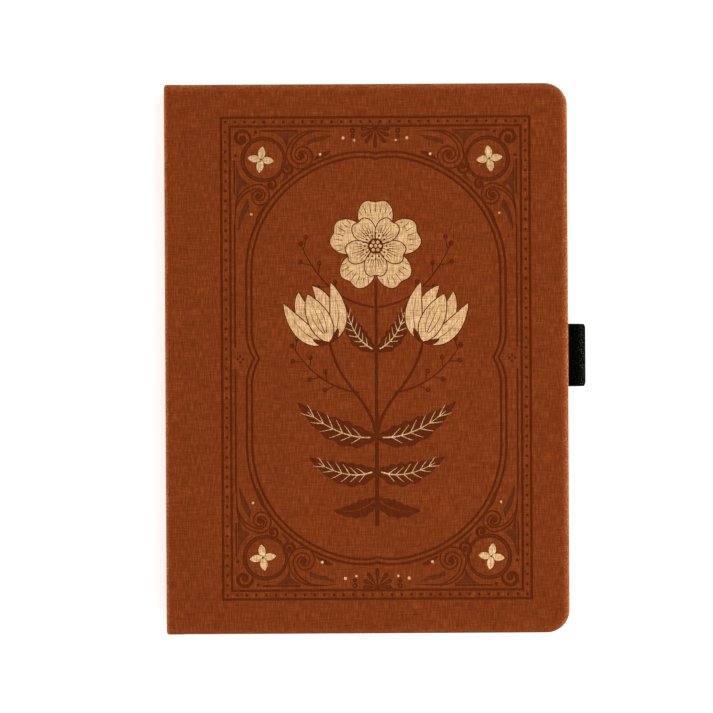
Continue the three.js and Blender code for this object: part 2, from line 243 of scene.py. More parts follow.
# what a node puts out; sums and products of signals are Math nodes
class Signal:
    def __init__(self, socket):
        self.socket = socket

    def __add__(self, other):
        return calculate("ADD", self, other)

    def __radd__(self, other):
        return calculate("ADD", other, self)

    def __sub__(self, other):
        return calculate("SUBTRACT", self, other)

    def __rsub__(self, other):
        return calculate("SUBTRACT", other, self)

    def __mul__(self, other):
        return calculate("MULTIPLY", self, other)

    def __truediv__(self, other):
        return calculate("DIVIDE", self, other)

    def __rtruediv__(self, other):
        return calculate("DIVIDE", other, self)

    def __abs__(self):
        return calculate("ABSOLUTE", self)

    def maths(self, operation, *others):
        return calculate(operation, self, *others)

    def node(self, kind, values, output=0, **settings):
        node = newNode(self.socket.id_data, kind, **settings)
        feedAll(node.inputs, values)
        return Signal(node.outputs[output])

    def split(self):
        node = newNode(self.socket.id_data, "ShaderNodeSeparateXYZ")
        feed(node.inputs[0], self)
        return [Signal(socket) for socket in node.outputs]

    def noise(self, scale, detail=2.0, roughness=0.5):
        values = {"Vector": self, "Scale": scale, "Detail": detail, "Roughness": roughness}
        return self.node("ShaderNodeTexNoise", values, "Fac")

    def ramp(self, low, high):            # 0 at low, 1 at high
        return self.node("ShaderNodeMapRange", {"Value": self, "From Min": low, "From Max": high}, "Result")

    def mix(self, first, second):         # two colours, by this share
        return self.node("ShaderNodeMix", {0: self, 6: first, 7: second}, 2, data_type="RGBA")

    def ribs(self, pitch=1.0):            # size of a sine: one rounded rib for each pitch
        return abs((self * (pi / pitch)).maths("SINE"))


def joined(x, y, z=0.0):
    return x.node("ShaderNodeCombineXYZ", {0: x, 1: y, 2: z})


def signalsOf(node):
    return {socket.name: Signal(socket) for socket in node.outputs}


# inputs are (name, kind, value) and outputs (name, kind)
def newGroup(name, inputs, outputs):
    tree = bpy.data.node_groups.new(name, "ShaderNodeTree")
    for label, kind, value in inputs:
        socket = tree.interface.new_socket(name=label, in_out="INPUT", socket_type="NodeSocket" + kind)
        if value is not None:
            socket.default_value = value
    for label, kind in outputs:
        tree.interface.new_socket(name=label, in_out="OUTPUT", socket_type="NodeSocket" + kind)
    return tree, signalsOf(newNode(tree, "NodeGroupInput")), newNode(tree, "NodeGroupOutput").inputs


def useGroup(material, group, **values):
    node = newNode(material.node_tree, "ShaderNodeGroup", node_tree=group)
    feedAll(node.inputs, values)
    return signalsOf(node)


def shaderOf(material):
    return material.node_tree.nodes["Principled BSDF"].inputs


def sheetOf(material):
    return Signal(newNode(material.node_tree, "ShaderNodeUVMap", uv_map="sheet").outputs[0])


def newMaterial(name, colour, roughness, metallic=0.0, specular=0.3, **others):
    material = bpy.data.materials.new(name)
    material.use_nodes = True
    material.diffuse_color = (*colour, 1)
    feedAll(shaderOf(material), {"Base Color": colour, "Roughness": roughness, "Metallic": metallic,
                                 "Specular IOR Level": specular, **others})
    return material


# the colour of a pattern, and its height as a bump of some strength that stands for a depth in millimetres
def addPattern(material, colour, height, strength, depth):
    bump = height.node("ShaderNodeBump", {"Height": height, "Strength": strength, "Distance": depth * mm})
    feedAll(shaderOf(material), {"Base Color": colour, "Normal": bump})


# Linen: plain weave of warp and weft threads, each with its own tone and with thick places along it; the
# relief of the weave is also painted with light and shade

linen = {
    "pitch": 0.42,                      # one thread
    "waver": 2.4,                       # how far the threads wander, in threads
    "under": 0.45,                      # height left where a thread dives under the next
    "warpStreaks": 1.35,
    "weftStreaks": 0.85,
    "streakShade": 1.14,
    "cloudShade": 0.2,
    "reliefLightAndShade": 0.26,
    "base": srgb(127, 54, 16),
    "dark": srgb(88, 31, 5),
    "light": srgb(170, 84, 38),
    "wearAndHighlight": srgb(194, 122, 74),       # edges rubbed lighter, with painted highlight where the rounded edges catch the light
    "sheenTint": srgb(255, 206, 132),
    "fleckScale": 1300.0,               # flecks of the lighter edge, rubbed wear and painted highlight, and the stretches where they are denser
    "stretchScale": 170.0,
    "bumpDepth": 0.06,
}

linenGroup, given, made = newGroup(
    "linenWeave",
    [("Sheet", "Vector", None), ("Pitch", "Float", linen["pitch"] * mm),
     ("Base", "Color", (0.5, 0.2, 0.1, 1)), ("Dark", "Color", (0.3, 0.1, 0.05, 1)),
     ("Light", "Color", (0.6, 0.3, 0.2, 1)), ("Streaks", "Float", 1.0)],
    [("Color", "Color"), ("Height", "Float"), ("Roughness", "Float")])
threads = given["Sheet"].node(
    "ShaderNodeVectorMath", {0: given["Sheet"], "Scale": 1.0 / given["Pitch"]}, operation="SCALE")
across, along, _ = threads.split()
waver = (threads.noise(0.05, 3.0) - 0.5) * linen["waver"]
across, along = across + waver, along + waver
isWarp = abs((across.maths("FLOOR") + along.maths("FLOOR")).maths("MODULO", 2.0))
warpBump, weftBump = across.ribs(), along.ribs()
warpTop = warpBump * (linen["under"] + weftBump * (1 - linen["under"]))
weftTop = weftBump * (linen["under"] + warpBump * (1 - linen["under"]))
weaveHeight = isWarp * warpTop + (1.0 - isWarp) * weftTop
warpStreak = joined(across, along * 0.12).noise(0.85, 2.0, 0.6)
weftStreak = joined(across * 0.09, along, 7.3).noise(0.85, 2.0, 0.6)
cloud = threads.noise(0.02, 3.0)
streak = (warpStreak - 0.5) * linen["warpStreaks"] + (weftStreak - 0.5) * linen["weftStreaks"]
streak = streak * given["Streaks"]
shade = streak * linen["streakShade"] + (cloud - 0.5) * linen["cloudShade"]
# the weave's high places are painted lighter and its dips darker: painted highlight and painted shade over
# the thread relief; the streaks and clouds are the threads' own tone
shade = shade + (weaveHeight - 0.55) * linen["reliefLightAndShade"]
colour = shade.ramp(0.0, -0.8).mix(given["Base"], given["Dark"])
feedAll(made, {
    "Color": shade.ramp(0.0, 0.8).mix(colour, given["Light"]),
    "Height": weaveHeight + streak * 0.8,
    "Roughness": 0.86 - weaveHeight * 0.1})

# Paper: fine fibres and broad clouds of a second tone
paperGroup, given, made = newGroup(
    "paperFibre",
    [("Place", "Vector", None), ("Base", "Color", (0.9, 0.87, 0.8, 1)),
     ("Fleck", "Color", (0.7, 0.64, 0.5, 1)), ("Amount", "Float", 0.25)],
    [("Color", "Color"), ("Height", "Float")])
fine = given["Place"].noise(2600.0, 3.0, 0.6)
tone = fine.ramp(0.55, 0.8) + (given["Place"].noise(90.0, 3.0) - 0.5) * 0.5
feedAll(made, {"Color": (tone * given["Amount"]).mix(given["Base"], given["Fleck"]), "Height": fine})


def weaveOn(material, sheet, base, dark, light, streaks):
    return useGroup(material, linenGroup, Sheet=sheet, Pitch=linen["pitch"] * mm, Base=base, Dark=dark,
                    Light=light, Streaks=streaks)


# linen finish; along the rounded edges, by each point's share, the threads are painted lighter in patches:
# partly rubbed wear, partly painted highlight where the edges catch the light; flecks of a few threads,
# denser along some stretches of an edge than along others
def clothMaterial(name, base, dark, light, streaks=1.0, bump=0.5, specular=0.05, sheen=0.0, wearAndHighlight=None):
    material = newMaterial(name, base, 0.85, 0, specular, **{
        "Sheen Weight": sheen, "Sheen Roughness": 0.38, "Sheen Tint": linen["sheenTint"]})
    sheet = sheetOf(material)
    weave = weaveOn(material, sheet, base, dark, light, streaks)
    colour = weave["Color"]
    if wearAndHighlight is not None:
        flecks = sheet.noise(linen["fleckScale"], 2.0, 0.6).ramp(0.42, 0.62)
        stretches = sheet.noise(linen["stretchScale"]).ramp(0.35, 0.65)
        wornAndLit = sheet.node("ShaderNodeAttribute", {}, "Fac", attribute_name="wornAndLit")
        colour = (wornAndLit * ((0.1 + flecks * 0.9) * (0.6 + stretches * 0.7))).mix(colour, wearAndHighlight)
    addPattern(material, colour, weave["Height"], bump, linen["bumpDepth"])
    feed(shaderOf(material)["Roughness"], weave["Roughness"])
    return material


coverLinen = clothMaterial("coverLinen", linen["base"], linen["dark"], linen["light"], sheen=0.25,
                           wearAndHighlight=linen["wearAndHighlight"])
pressedLinen = clothMaterial("pressedLinen", srgb(96, 36, 5), srgb(73, 24, 2), srgb(123, 53, 15),
                             streaks=0.8, bump=0.3, specular=0.08)
shadedLinen = clothMaterial("shadedLinen", srgb(100, 45, 19), srgb(74, 30, 11), srgb(126, 61, 30),
                            streaks=0.9, bump=0.35)

# foil lies on the weave's high places and misses specks of its deepest ones
goldFoil = newMaterial("goldFoil", srgb(222, 190, 120), 0.42, 0.55, 0.5)
sheet = sheetOf(goldFoil)
weave = weaveOn(goldFoil, sheet, srgb(198, 156, 104), srgb(152, 103, 54), srgb(230, 198, 152), 2.0)
specks = sheet.noise(1500.0, 2.0, 0.6).ramp(0.6, 0.72) * 0.7
addPattern(goldFoil, specks.mix(weave["Color"], srgb(132, 84, 38)), weave["Height"], 0.35, 0.05)
print("cloth and foil materials made")

# Ornament of the front cover, in millimetres from the middle of its frame.
# A shape is its kind, its outline and its hole, and the later ones lie over the earlier ones.

ornament = {
    "centre": (3.72, 0.245),
    "halfWidth": 60.56,
    "halfHeight": 94.6,
    "rule": 1.0,
    "secondRule": 3.45,
    "secondRuleWidth": 0.95,
    "thirdRule": 5.2,
    "thirdRuleWidth": 0.7,
    "thirdRuleSide": (4.2, 52.6),     # its length along a side, from the side's middle
    "thirdRuleEnd": (25, 11.5),       # its second length along a side, from the corner
    "thirdRuleHead": (10.4, 25),      # its length along the head, from the corner
    "beadInset": 1.68,
    "beadPitch": 3.85,
    "beadRadius": 0.6,
    "archWidth": 50.95,
    "archHeight": 48.4,
    "archSpring": 33.4,
    "archGap": 2.05,
    "archLine": 0.95,
    "bracketReach": 11,
    "bracketDepth": 3.0,
    "depth": 0.16,
    "slope": 0.12,
}
frameX, frameY = ornament["halfWidth"], ornament["halfHeight"]
ruleX, ruleY = frameX - ornament["thirdRule"], frameY - ornament["thirdRule"]


def ink(outline, hole=None):         # pressed line
    return "ink", outline, hole


def shaded(outline, hole=None):      # pressed ground, less dark
    return "shade", outline, hole


def gold(outline):
    return "gold", outline, None


def bare(outline):                   # linen left standing in a pressed shape
    return "bare", outline, None


def circle(x, y, radius, count=12):
    angle = np.linspace(0, 2 * pi, count, endpoint=False)
    return np.c_[x + radius * np.cos(angle), y + radius * np.sin(angle)]


def rectangle(halfWidth, halfHeight):
    return np.array([(-1, -1), (1, -1), (1, 1), (-1, 1)]) * (halfWidth, halfHeight)


# Bezier curve of four points, sampled evenly in its parameter
def bezier(points, count=18):
    share = np.linspace(0, 1, count)[:, None]
    rest = 1 - share
    a, b, c, d = np.array(points, float)
    return a * rest ** 3 + 3 * b * share * rest ** 2 + 3 * c * share ** 2 * rest + d * share ** 3


def quadratic(a, b, c, count=16):
    share = np.linspace(0, 1, count)[:, None]
    a, b, c = np.array([a, b, c], float)
    return a * (1 - share) ** 2 + 2 * b * share * (1 - share) + c * share ** 2


def unitNormals(path, closed=False):
    tangent = np.roll(path, -1, 0) - np.roll(path, 1, 0) if closed else np.gradient(path, axis=0)
    tangent /= np.maximum(np.linalg.norm(tangent, axis=1, keepdims=True), 1e-9)
    return np.c_[-tangent[:, 1], tangent[:, 0]]


# a line of changing width: its left side out and its right side back
def stroke(path, width):
    half = unitNormals(path) * (np.broadcast_to(width, len(path))[:, None] / 2)
    return np.vstack([path + half, (path - half)[::-1]])


def anticlockwise(outline):
    x, y = outline[:, 0], outline[:, 1]
    area = 0.5 * np.sum(x * np.roll(y, -1) - y * np.roll(x, -1))
    return outline if area > 0 else outline[::-1]


# outline moved outwards by a distance along its own normals
def grown(outline, distance):
    outline = anticlockwise(outline)
    return outline - unitNormals(outline, closed=True) * distance


# shapes stretched by a scale, which turns them over where it is negative, and then moved
def placed(shapes, scale, shift=(0, 0)):
    return [(kind, outline * scale + shift, None if hole is None else hole * scale + shift)
            for kind, outline, hole in shapes]


fourCorners = ((1, 1), (1, -1), (-1, 1), (-1, -1))


def ruledFrame(inset, width):
    x, y = frameX - inset, frameY - inset
    return ink(rectangle(x + width / 2, y + width / 2), rectangle(x - width / 2, y - width / 2))


# two rules all round, a third in lengths near the corners, and a row of beads between the first two
def frameShapes():
    shapes = [ruledFrame(0, ornament["rule"]),
              ruledFrame(ornament["secondRule"], ornament["rule"] * ornament["secondRuleWidth"])]
    sides = (ornament["thirdRuleSide"], [ruleY - length for length in ornament["thirdRuleEnd"]])
    lines = [[(ruleX, low), (ruleX, high)] for low, high in sides]
    lines.append([(length - ruleX, ruleY) for length in ornament["thirdRuleHead"]])
    for corner in fourCorners[::-1]:
        shapes += [ink(stroke(np.array(line, float), ornament["thirdRuleWidth"]) * corner) for line in lines]
    beadX, beadY = frameX - ornament["beadInset"], frameY - ornament["beadInset"]
    columns, rows = [round(2 * size / ornament["beadPitch"]) + 1 for size in (beadX, beadY)]
    places = [(x, side * beadY) for x in np.linspace(-beadX, beadX, columns) for side in (-1, 1)]
    places += [(side * beadX, y) for y in np.linspace(-beadY, beadY, rows)[1:-1] for side in (-1, 1)]
    return shapes + [ink(circle(x, y, ornament["beadRadius"], 10)) for x, y in places]


# straight sides with a small pointed bracket at their middle, and half ellipses above and below
# that are a little full at their shoulders and dip to a point at the middle
def archOutline(inset):
    a, b = ornament["archWidth"] - inset, ornament["archHeight"] - inset
    spring, reach = ornament["archSpring"], ornament["bracketReach"]
    side = np.r_[np.linspace(-spring, -reach, 5)[:-1], np.linspace(-reach, reach, 25),
                 np.linspace(reach, spring, 5)[1:]]
    bracket = ornament["bracketDepth"] * np.clip(1 - np.abs(side) / reach, 0, 1) ** 2.2
    angle = np.linspace(0, pi, 73)[1:-1]
    dip = 1.5 * np.exp(-np.abs(angle - pi / 2) / 0.09)
    arch = np.c_[a * np.cos(angle), spring + b * np.sin(angle) ** 0.96 - dip]
    right = np.c_[a - bracket, side]
    return np.vstack([right, arch, -right, -arch])


def archShapes():
    half = ornament["archLine"] / 2
    return [ink(archOutline(inset - half), archOutline(inset + half)) for inset in (0, ornament["archGap"])]


# Corner of the frame, drawn for the upper left: s runs right and t down from the third rule's corner

corner = {
    # dark ground behind the scrolls: two curves that meet at their ends
    "grounds": (((15.3, 0.7), (19.6, 2.4), (20.7, 6.8), (21.2, 3.6), (22.6, 1.7), (25.4, 0.7)),
                ((0.7, 12.2), (1.5, 18.2), (5.6, 20.7), (2.6, 22.0), (1.3, 25.0), (0.7, 29.0)),
                ((28.4, 4.0), (31.6, 2.2), (38.5, 1.7), (35.0, 3.8), (31.5, 4.2), (28.8, 5.6)),
                ((1.2, 38.5), (1.5, 31.5), (5.2, 26.8), (6.0, 29.4), (3.6, 33.5), (1.6, 39.0)),
                ((19.6, 16.8), (19.6, 18.6), (17.4, 20.4), (18.6, 20.2), (20.6, 19.0), (21.3, 17.9))),
    "blossom": (10.47, 11.23),
    # ring round the blossom: kind, shift and radius outside, shift and radius inside, points
    "rings": ((shaded, 0.95, 8.7, 1.1, 7.8, 48),
              (ink, 0.9, 9.0, 0.95, 8.5, 48),
              (ink, 1.05, 7.95, 1.1, 7.5, 44)),
    # two long scrolls along the head and the side, three small ones at the ring; a tail's curves
    # have four points and a count each
    "scrolls": (
        {"centre": (26.4, 9.8), "radii": (0.8, 5.0), "turns": 1.3, "endAngle": pi, "band": 2.6,
         "tail": ((((21.4, 9.8), (21.6, 4.6), (25.6, 0.5), (31.5, 0.2)), 18),
                  (((31.5, 0.2), (34.5, 0.1), (36.5, 0.2), (39.3, 0.5)), 8))},
        {"centre": (9.6, 25.6), "radii": (0.7, 3.8), "turns": -1.3, "endAngle": -pi / 2, "band": 2.4,
         "tail": ((((9.6, 21.8), (5.6, 21.9), (0.9, 25.2), (0.4, 31.0)), 18),
                  (((0.4, 31.0), (0.2, 33.5), (0.1, 35.0), (0.0, 37.5)), 8))},
        {"centre": (21.1, 14.7), "radii": (0.5, 2.5), "turns": 1.15, "endAngle": pi, "band": 1.25,
         "tail": ((((18.6, 14.7), (18.6, 12.4), (20.4, 11.0), (20.7, 6.6)), 12),)},
        {"centre": (14.4, 21.1), "radii": (0.45, 2.2), "turns": -1.15, "endAngle": -pi / 2, "band": 1.2,
         "tail": ((((14.4, 18.9), (12.6, 18.5), (11.4, 19.2), (9.6, 20.1)), 10),)},
        {"centre": (2.9, 2.9), "radii": (0.7, 3.5), "turns": 1.25, "endAngle": 0.1, "band": 1.5,
         "tail": ((((6.38, 3.25), (6.5, 4.6), (6.0, 5.6), (5.0, 7.0)), 10),)}),
    "splitAbove": 1.5,        # a band wider than this has a bare middle
    "darkSides": 1.25,        # both sides of it together
    "beads": ((8.5, 0.45), (0.45, 9.7)),
    "beadRadius": 0.7,
    "leaves": (((31.2, 11.6), (34.4, 9.2), (38.0, 8.2)), ((11.6, 29.8), (9.4, 33.6), (8.0, 38.6))),
    "leafWidth": 1.7,
    "petalTurn": 0.13,
    "petalWidth": 1.42,
    "petalStart": 0.35,
    "petalLength": 4.85,
    "petalOutline": 0.2,
    "eye": 0.42,
}


# scroll: a spiral of straight growing radius that runs on into a curve, drawn as a band with dark sides.
# The band swells as the root of a sine, and runs out to a point; turns below 0 run clockwise.
def scroll(centre, radii, turns, endAngle, tail, band):
    angle = np.linspace(endAngle - turns * 2 * pi, endAngle, int(20 * abs(turns)) + 6)
    radius = np.linspace(*radii, len(angle))
    spiral = np.c_[centre[0] + radius * np.cos(angle), centre[1] + radius * np.sin(angle)]
    path = np.vstack([spiral] + [bezier(points, count)[1:] for points, count in tail])
    share = np.linspace(0, 1, len(path))
    swell = 0.42 + 0.58 * np.sin(pi * np.clip(share * 1.15, 0, 1)) ** 0.7
    width = np.maximum(band * swell * np.clip((1 - share) * 5, 0.12, 1), 0.14)
    heart = min(radii[0] + 0.45, 0.3 * radii[1])
    shapes = [ink(stroke(path, width)), ink(circle(*centre, heart, 14))]
    isWide = width > corner["splitAbove"]
    first, last = np.argmax(isWide), len(isWide) - np.argmax(isWide[::-1])
    if isWide.any() and last - first > 3:
        inner = np.maximum(width - corner["darkSides"], 0.05)
        shapes.append(bare(stroke(path[first:last], inner[first:last])))
    return shapes


# four pointed petals in foil, each a little over the next, round a dark eye; a petal's half width is
# a power of the sine of a power of its length
def blossomShapes(x, y):
    shapes = []
    reach = np.linspace(0.0, 1.0, 14)
    side = corner["petalWidth"] * np.sin(pi * (0.22 + 0.78 * reach) ** 1.25) ** 0.85
    distance = corner["petalStart"] + corner["petalLength"] * reach
    for turn in range(4):
        angle = turn * pi / 2 + corner["petalTurn"]
        along, out = np.cos(angle), np.sin(angle)
        left = np.c_[x + along * distance - out * side, y + out * distance + along * side]
        right = np.c_[x + along * distance + out * side, y + out * distance - along * side]
        petal = np.vstack([left, right[::-1][1:]])
        shapes += [ink(grown(petal, corner["petalOutline"])), gold(petal)]
    return shapes + [ink(circle(x, y, corner["eye"], 9))]


def cornerShapes():
    x, y = corner["blossom"]
    shapes = [shaded(np.vstack([quadratic(*points[:3]), quadratic(*points[3:])]))
              for points in corner["grounds"]]
    for kind, outerShift, outer, innerShift, inner, count in corner["rings"]:
        shapes.append(kind(circle(x + outerShift, y, outer, count), circle(x + innerShift, y, inner, count)))
    for settings in corner["scrolls"]:
        shapes += scroll(**settings)
    shapes += [ink(circle(*place, corner["beadRadius"], 12)) for place in corner["beads"]]
    width = corner["leafWidth"] * np.sin(pi * np.linspace(0.03, 0.97, 16)) ** 0.9
    shapes += [ink(stroke(quadratic(*points), width)) for points in corner["leaves"]]
    return placed(shapes + blossomShapes(x, y), (1, -1), (-ruleX, ruleY))


# Fan of seven lobes with two side beads, at head and tail, and the foil dots and beads round it

palmette = {
    "spreads": (-78, -54, -30, 0, 30, 54, 78),
    "length": 6.9,                     # of the middle lobe
    "shrink": 1.5,                     # for each radian of spread
    "foot": 0.9,
    "footRadius": 1.05,
    # beads beside it: distance from the middle, distance below the root, outer and inner radius
    "beads": ((8.9, 0.9, 1.05, 0.4), (8.9, 3.0, 0.85, 0.3)),
    "foilDots": ((12.5, 86.5, 0.62), (8.2, 85.6, 0.5), (21.65, 80.1, 0.55)),
    "sideDots": (-48.7, 56.7, 0.5),
    "sideBeads": (-53.4, -0.2),        # lozenge of four at mid side
    "sideBeadSpread": ((0, 1.15), (0, -1.15), (1.1, 0), (-1.1, 0)),
    "sideBeadRadius": 0.5,
}


# a lobe widens as a power of its length and is rounded off at its end
def palmetteShapes():
    shapes = []
    root = np.array([0.0, frameY - ornament["secondRule"] - 0.9])
    for spread in np.radians(palmette["spreads"]):
        length = palmette["length"] - palmette["shrink"] * abs(spread)
        reach = np.linspace(0, 1, 12)
        width = 0.25 + 2.15 * reach ** 1.2 * np.sqrt(np.clip(1 - reach ** 6, 0, 1))
        bend = spread * (1 + 0.16 * reach)
        path = root + np.c_[np.sin(bend), -np.cos(bend)] * (palmette["foot"] + length * reach)[:, None]
        shapes += [ink(stroke(path, width)), shaded(stroke(path[5:10], width[5:10] * 0.35))]
    shapes.append(ink(circle(0, root[1], palmette["footRadius"], 14)))
    for side in (-1, 1):
        for x, below, outer, inner in palmette["beads"]:
            place = side * x, root[1] - below
            shapes.append(ink(circle(*place, outer, 12), circle(*place, inner, 8)))
        shapes += [gold(circle(side * x, y, radius, 10)) for x, y, radius in palmette["foilDots"]]
    return shapes


def sideShapes():
    (x, y, radius), (beadX, beadY) = palmette["sideDots"], palmette["sideBeads"]
    shapes = [gold(circle(x, side * y, radius, 10)) for side in (-1, 1)]
    return shapes + [ink(circle(beadX + right, beadY + up, palmette["sideBeadRadius"], 8))
                     for right, up in palmette["sideBeadSpread"]]


design = frameShapes() + archShapes()
for scale in fourCorners:
    design += placed(cornerShapes(), scale)
design += palmetteShapes() + placed(palmetteShapes(), (1, -1))
design += sideShapes() + placed(sideShapes(), (-1, 1))
print("frame ornament drawn", len(design))

# Spray of flowers in the middle: an open five-petalled bloom over two tulips, in mirrored pairs

spray = {
    "bloom": (0.0, 44.0),
    "bloomRadius": 19.0,
    "tulipRoot": (18.5, 6.5),
    "tulipLength": 23.0,
    "tulipTilt": 24.0,
    "stalk": (30, -66.0),
    "outline": 0.42,
    "stem": ((0.2, -30.0), (3.0, -14.0), (15.0, -12.0), (18.6, 7.5)),
    # root, middle and tip; a leaf's width, and whether it has veins
    "sprigs": (((1.0, 20.0), (20.0, 22.5), (29.5, 45.0)), ((7.0, -13.5), (23.0, -11.5), (33.0, 5.0))),
    "berries": 6,
    "leaves": (((0.0, 3.0), (9.5, 6.5), (12.0, 21.5), 7.2, True),
               ((0.0, -31.0), (15.0, -33.0), (31.0, -17.5), 9.6, True),
               ((0.0, -44.0), (11.0, -49.5), (26.5, -39.0), 9.0, True),
               ((0.0, -55.0), (6.0, -61.5), (17.0, -60.0), 6.6, False)),
    "leafTeeth": 5.5,
    # widths of lines at their start and end
    "stalkWidth": (1.1, 1.75),
    "stemWidth": (1.3, 0.95),
    "midrib": (0.5, 0.16),
    "bareMidrib": (0.42, 0.16),
    "vein": (0.32, 0.12),
    "twig": (0.85, 0.35),
    "berryStalk": (0.42, 0.3),
    "petalLine": (0.34, 0.12),
    "frontLine": (0.36, 0.12),
    "berryRadius": 0.95,
    "lastBerryRadius": 1.05,
    "stamens": 20,
    "stamenLength": 5.1,
    "headRadius": 3.1,
    "headDot": 0.68,
    "headDotReach": 1.75,
}


def tapered(path, first, last):
    return stroke(path, np.linspace(first, last, len(path)))


# almond along a curved rib: half width is a power of the sine of its length
def almond(rib, width, fullness=1.0, power=0.85):
    reach = np.linspace(0.0, 1.0, len(rib))
    return stroke(rib, np.maximum(width * np.sin(pi * reach ** fullness) ** power, 0.05))


def outlined(outline):
    return [ink(grown(outline, spray["outline"])), gold(outline)]


# almond with soft teeth, a midrib and six pairs of veins in foil; the lowest leaf has a bare midrib alone
def leaf(root, middle, tip, width, hasVeins):
    rib = quadratic(root, middle, tip, 26)
    normal = unitNormals(rib)
    reach = np.linspace(0, 1, len(rib))
    half = width / 2 * np.sin(pi * np.clip(reach * 0.97 + 0.015, 0, 1) ** 0.82) ** 0.9
    half *= 1 + 0.10 * np.sin(reach * 2 * pi * spray["leafTeeth"])
    shapes = [ink(stroke(rib, np.maximum(2 * half, 0.1)))]
    if not hasVeins:
        return shapes + [bare(tapered(rib[2:-4], *spray["bareMidrib"]))]
    shapes.append(gold(tapered(rib[2:-3], *spray["midrib"])))
    for at in (5, 8, 11, 14, 17, 20):
        for side in (-1, 1):
            end = rib[min(at + 3, len(rib) - 1)] + normal[at] * side * half[at] * 0.74
            bend = rib[at] * 0.45 + end * 0.55 + normal[at] * side * 0.25
            shapes.append(gold(tapered(quadratic(rib[at], bend, end, 6), *spray["vein"])))
    return shapes


# curved twig with berries on short stalks at both sides in turn
def sprig(root, middle, tip):
    path = quadratic(root, middle, tip, 20)
    normal = unitNormals(path)
    shapes = [ink(tapered(path, *spray["twig"]))]
    for number, at in enumerate(np.linspace(6, 18, spray["berries"]).astype(int)):
        side = 1 if number % 2 else -1
        end = path[at] + normal[at] * side * 3.1 + (path[at] - path[at - 1]) * 1.6
        bend = path[at] * 0.4 + end * 0.6 + normal[at] * side * 0.4
        shapes += [ink(tapered(quadratic(path[at], bend, end, 6), *spray["berryStalk"])),
                   ink(circle(*end, spray["berryRadius"], 11)), bare(circle(*(end + 0.22), 0.26, 6))]
    return shapes + [ink(circle(*path[-1], spray["lastBerryRadius"], 11))]


# tulip: two petals behind, two at the sides and one in front, with inked lines and two sepals
def tulip():
    shapes = []
    root, length = np.array(spray["tulipRoot"]), spray["tulipLength"]
    tilt = np.radians(90 - spray["tulipTilt"])
    ahead, aside = np.array([np.cos(tilt), np.sin(tilt)]), np.array([np.sin(tilt), -np.cos(tilt)])

    def at(*places):
        return [root + ahead * forward * length + aside * sideways * length for forward, sideways in places]

    for side in (-1, 1):
        rib = bezier(at((0.1, 0), (0.3, 0.2 * side), (0.7, 0.26 * side), (0.98, 0.13 * side)), 16)
        shapes += outlined(almond(rib, 6.0))
    for side in (-1, 1):
        rib = bezier(at((0.02, 0), (0.12, 0.34 * side), (0.55, 0.42 * side), (0.9, 0.44 * side)), 20)
        shapes += outlined(almond(rib, 6.4, 0.85)) + [ink(tapered(rib[5:15], *spray["petalLine"]))]
    rib = bezier(at((0.0, 0), (0.3, -0.03), (0.6, 0.03), (0.88, 0.0)), 20)
    shapes += outlined(almond(rib, 8.6, 0.8, 0.75))
    for side in (-0.5, 0, 0.5):
        tip = (0.68 - 0.1 * abs(side), 0.14 * side)
        line = bezier(at((0.16, 0.05 * side), (0.3, 0.2 * side), (0.5, 0.22 * side), tip), 12)
        shapes.append(ink(tapered(line, *spray["frontLine"])))
    for side in (-1, 1):
        sepal = quadratic(*at((-0.03, 0), (0.02, 0.16 * side), (0.16, 0.24 * side)), 12)
        shapes.append(ink(almond(sepal, 2.2)))
    return shapes


def halfSpray():
    shapes = []
    for points in spray["sprigs"]:
        shapes += sprig(*points)
    shapes.append(ink(tapered(bezier(spray["stem"], 22), *spray["stemWidth"])))
    for settings in spray["leaves"]:
        shapes += leaf(*settings)
    return shapes + tulip()


# petal: its reach falls from the middle to both sides as a root of the cosine, with a notch at the tip
def bloomPetal(centre, direction, radius, spread, notch=0.1):
    turn = np.linspace(-spread, spread, 30)
    dent = notch * np.exp(-(turn / (0.16 * spread / 0.7)) ** 2)
    reach = radius * np.cos(pi / 2 * turn / spread * 0.999) ** 0.36 * (1 - dent)
    angle = direction + turn
    return np.c_[centre[0] + reach * np.cos(angle), centre[1] + reach * np.sin(angle)]


# two tiers of five petals with inked lines, a ring of stamens and a seed head of seven foil dots
def bloom():
    shapes = []
    centre, radius = np.array(spray["bloom"]), spray["bloomRadius"]
    tiers = ((1.0, 0.0, 0.70, 0.7, 0.93), (0.66, pi / 5, 0.68, 0.28, 0.52))
    for size, shift, spread, start, end in tiers:
        for number in range(5):
            direction = pi / 2 + shift + number * 2 * pi / 5
            shapes += outlined(bloomPetal(centre, direction, radius * size, spread))
            for lean in (-0.42, -0.28, -0.14, 0.0, 0.14, 0.28, 0.42):
                reach = np.linspace(start, end - 0.22 * abs(lean), 7)[:, None] * radius
                bend = direction + lean + 0.1 * lean * np.linspace(0, 1, 7) ** 2
                line = centre + np.c_[np.cos(bend), np.sin(bend)] * reach
                shapes.append(ink(tapered(line, *spray["petalLine"])))
    for number in range(spray["stamens"]):
        angle = number * pi / (spray["stamens"] / 2)
        length = spray["stamenLength"] * np.array([np.cos(angle), np.sin(angle)])
        end = centre + length * (1 if number % 2 else 0.84)
        shapes += [ink(stroke(np.linspace(centre, end, 3), 0.26)), ink(circle(*end, 0.44, 8))]
    shapes.append(ink(circle(*centre, spray["headRadius"], 24)))
    for number in range(7):
        angle, reach = number * 2 * pi / 6, 0 if number == 6 else spray["headDotReach"]
        x, y = centre[0] + reach * np.cos(angle), centre[1] + reach * np.sin(angle)
        shapes.append(gold(circle(x, y, spray["headDot"], 9)))
    return shapes


stalk = np.c_[np.zeros(24), np.linspace(*spray["stalk"], 24)]
design.append(ink(tapered(stalk, *spray["stalkWidth"])))
half = halfSpray()
for pair in zip(half, placed(half, (-1, 1))):
    design += pair
design += bloom()
print("spray drawn", len(design))


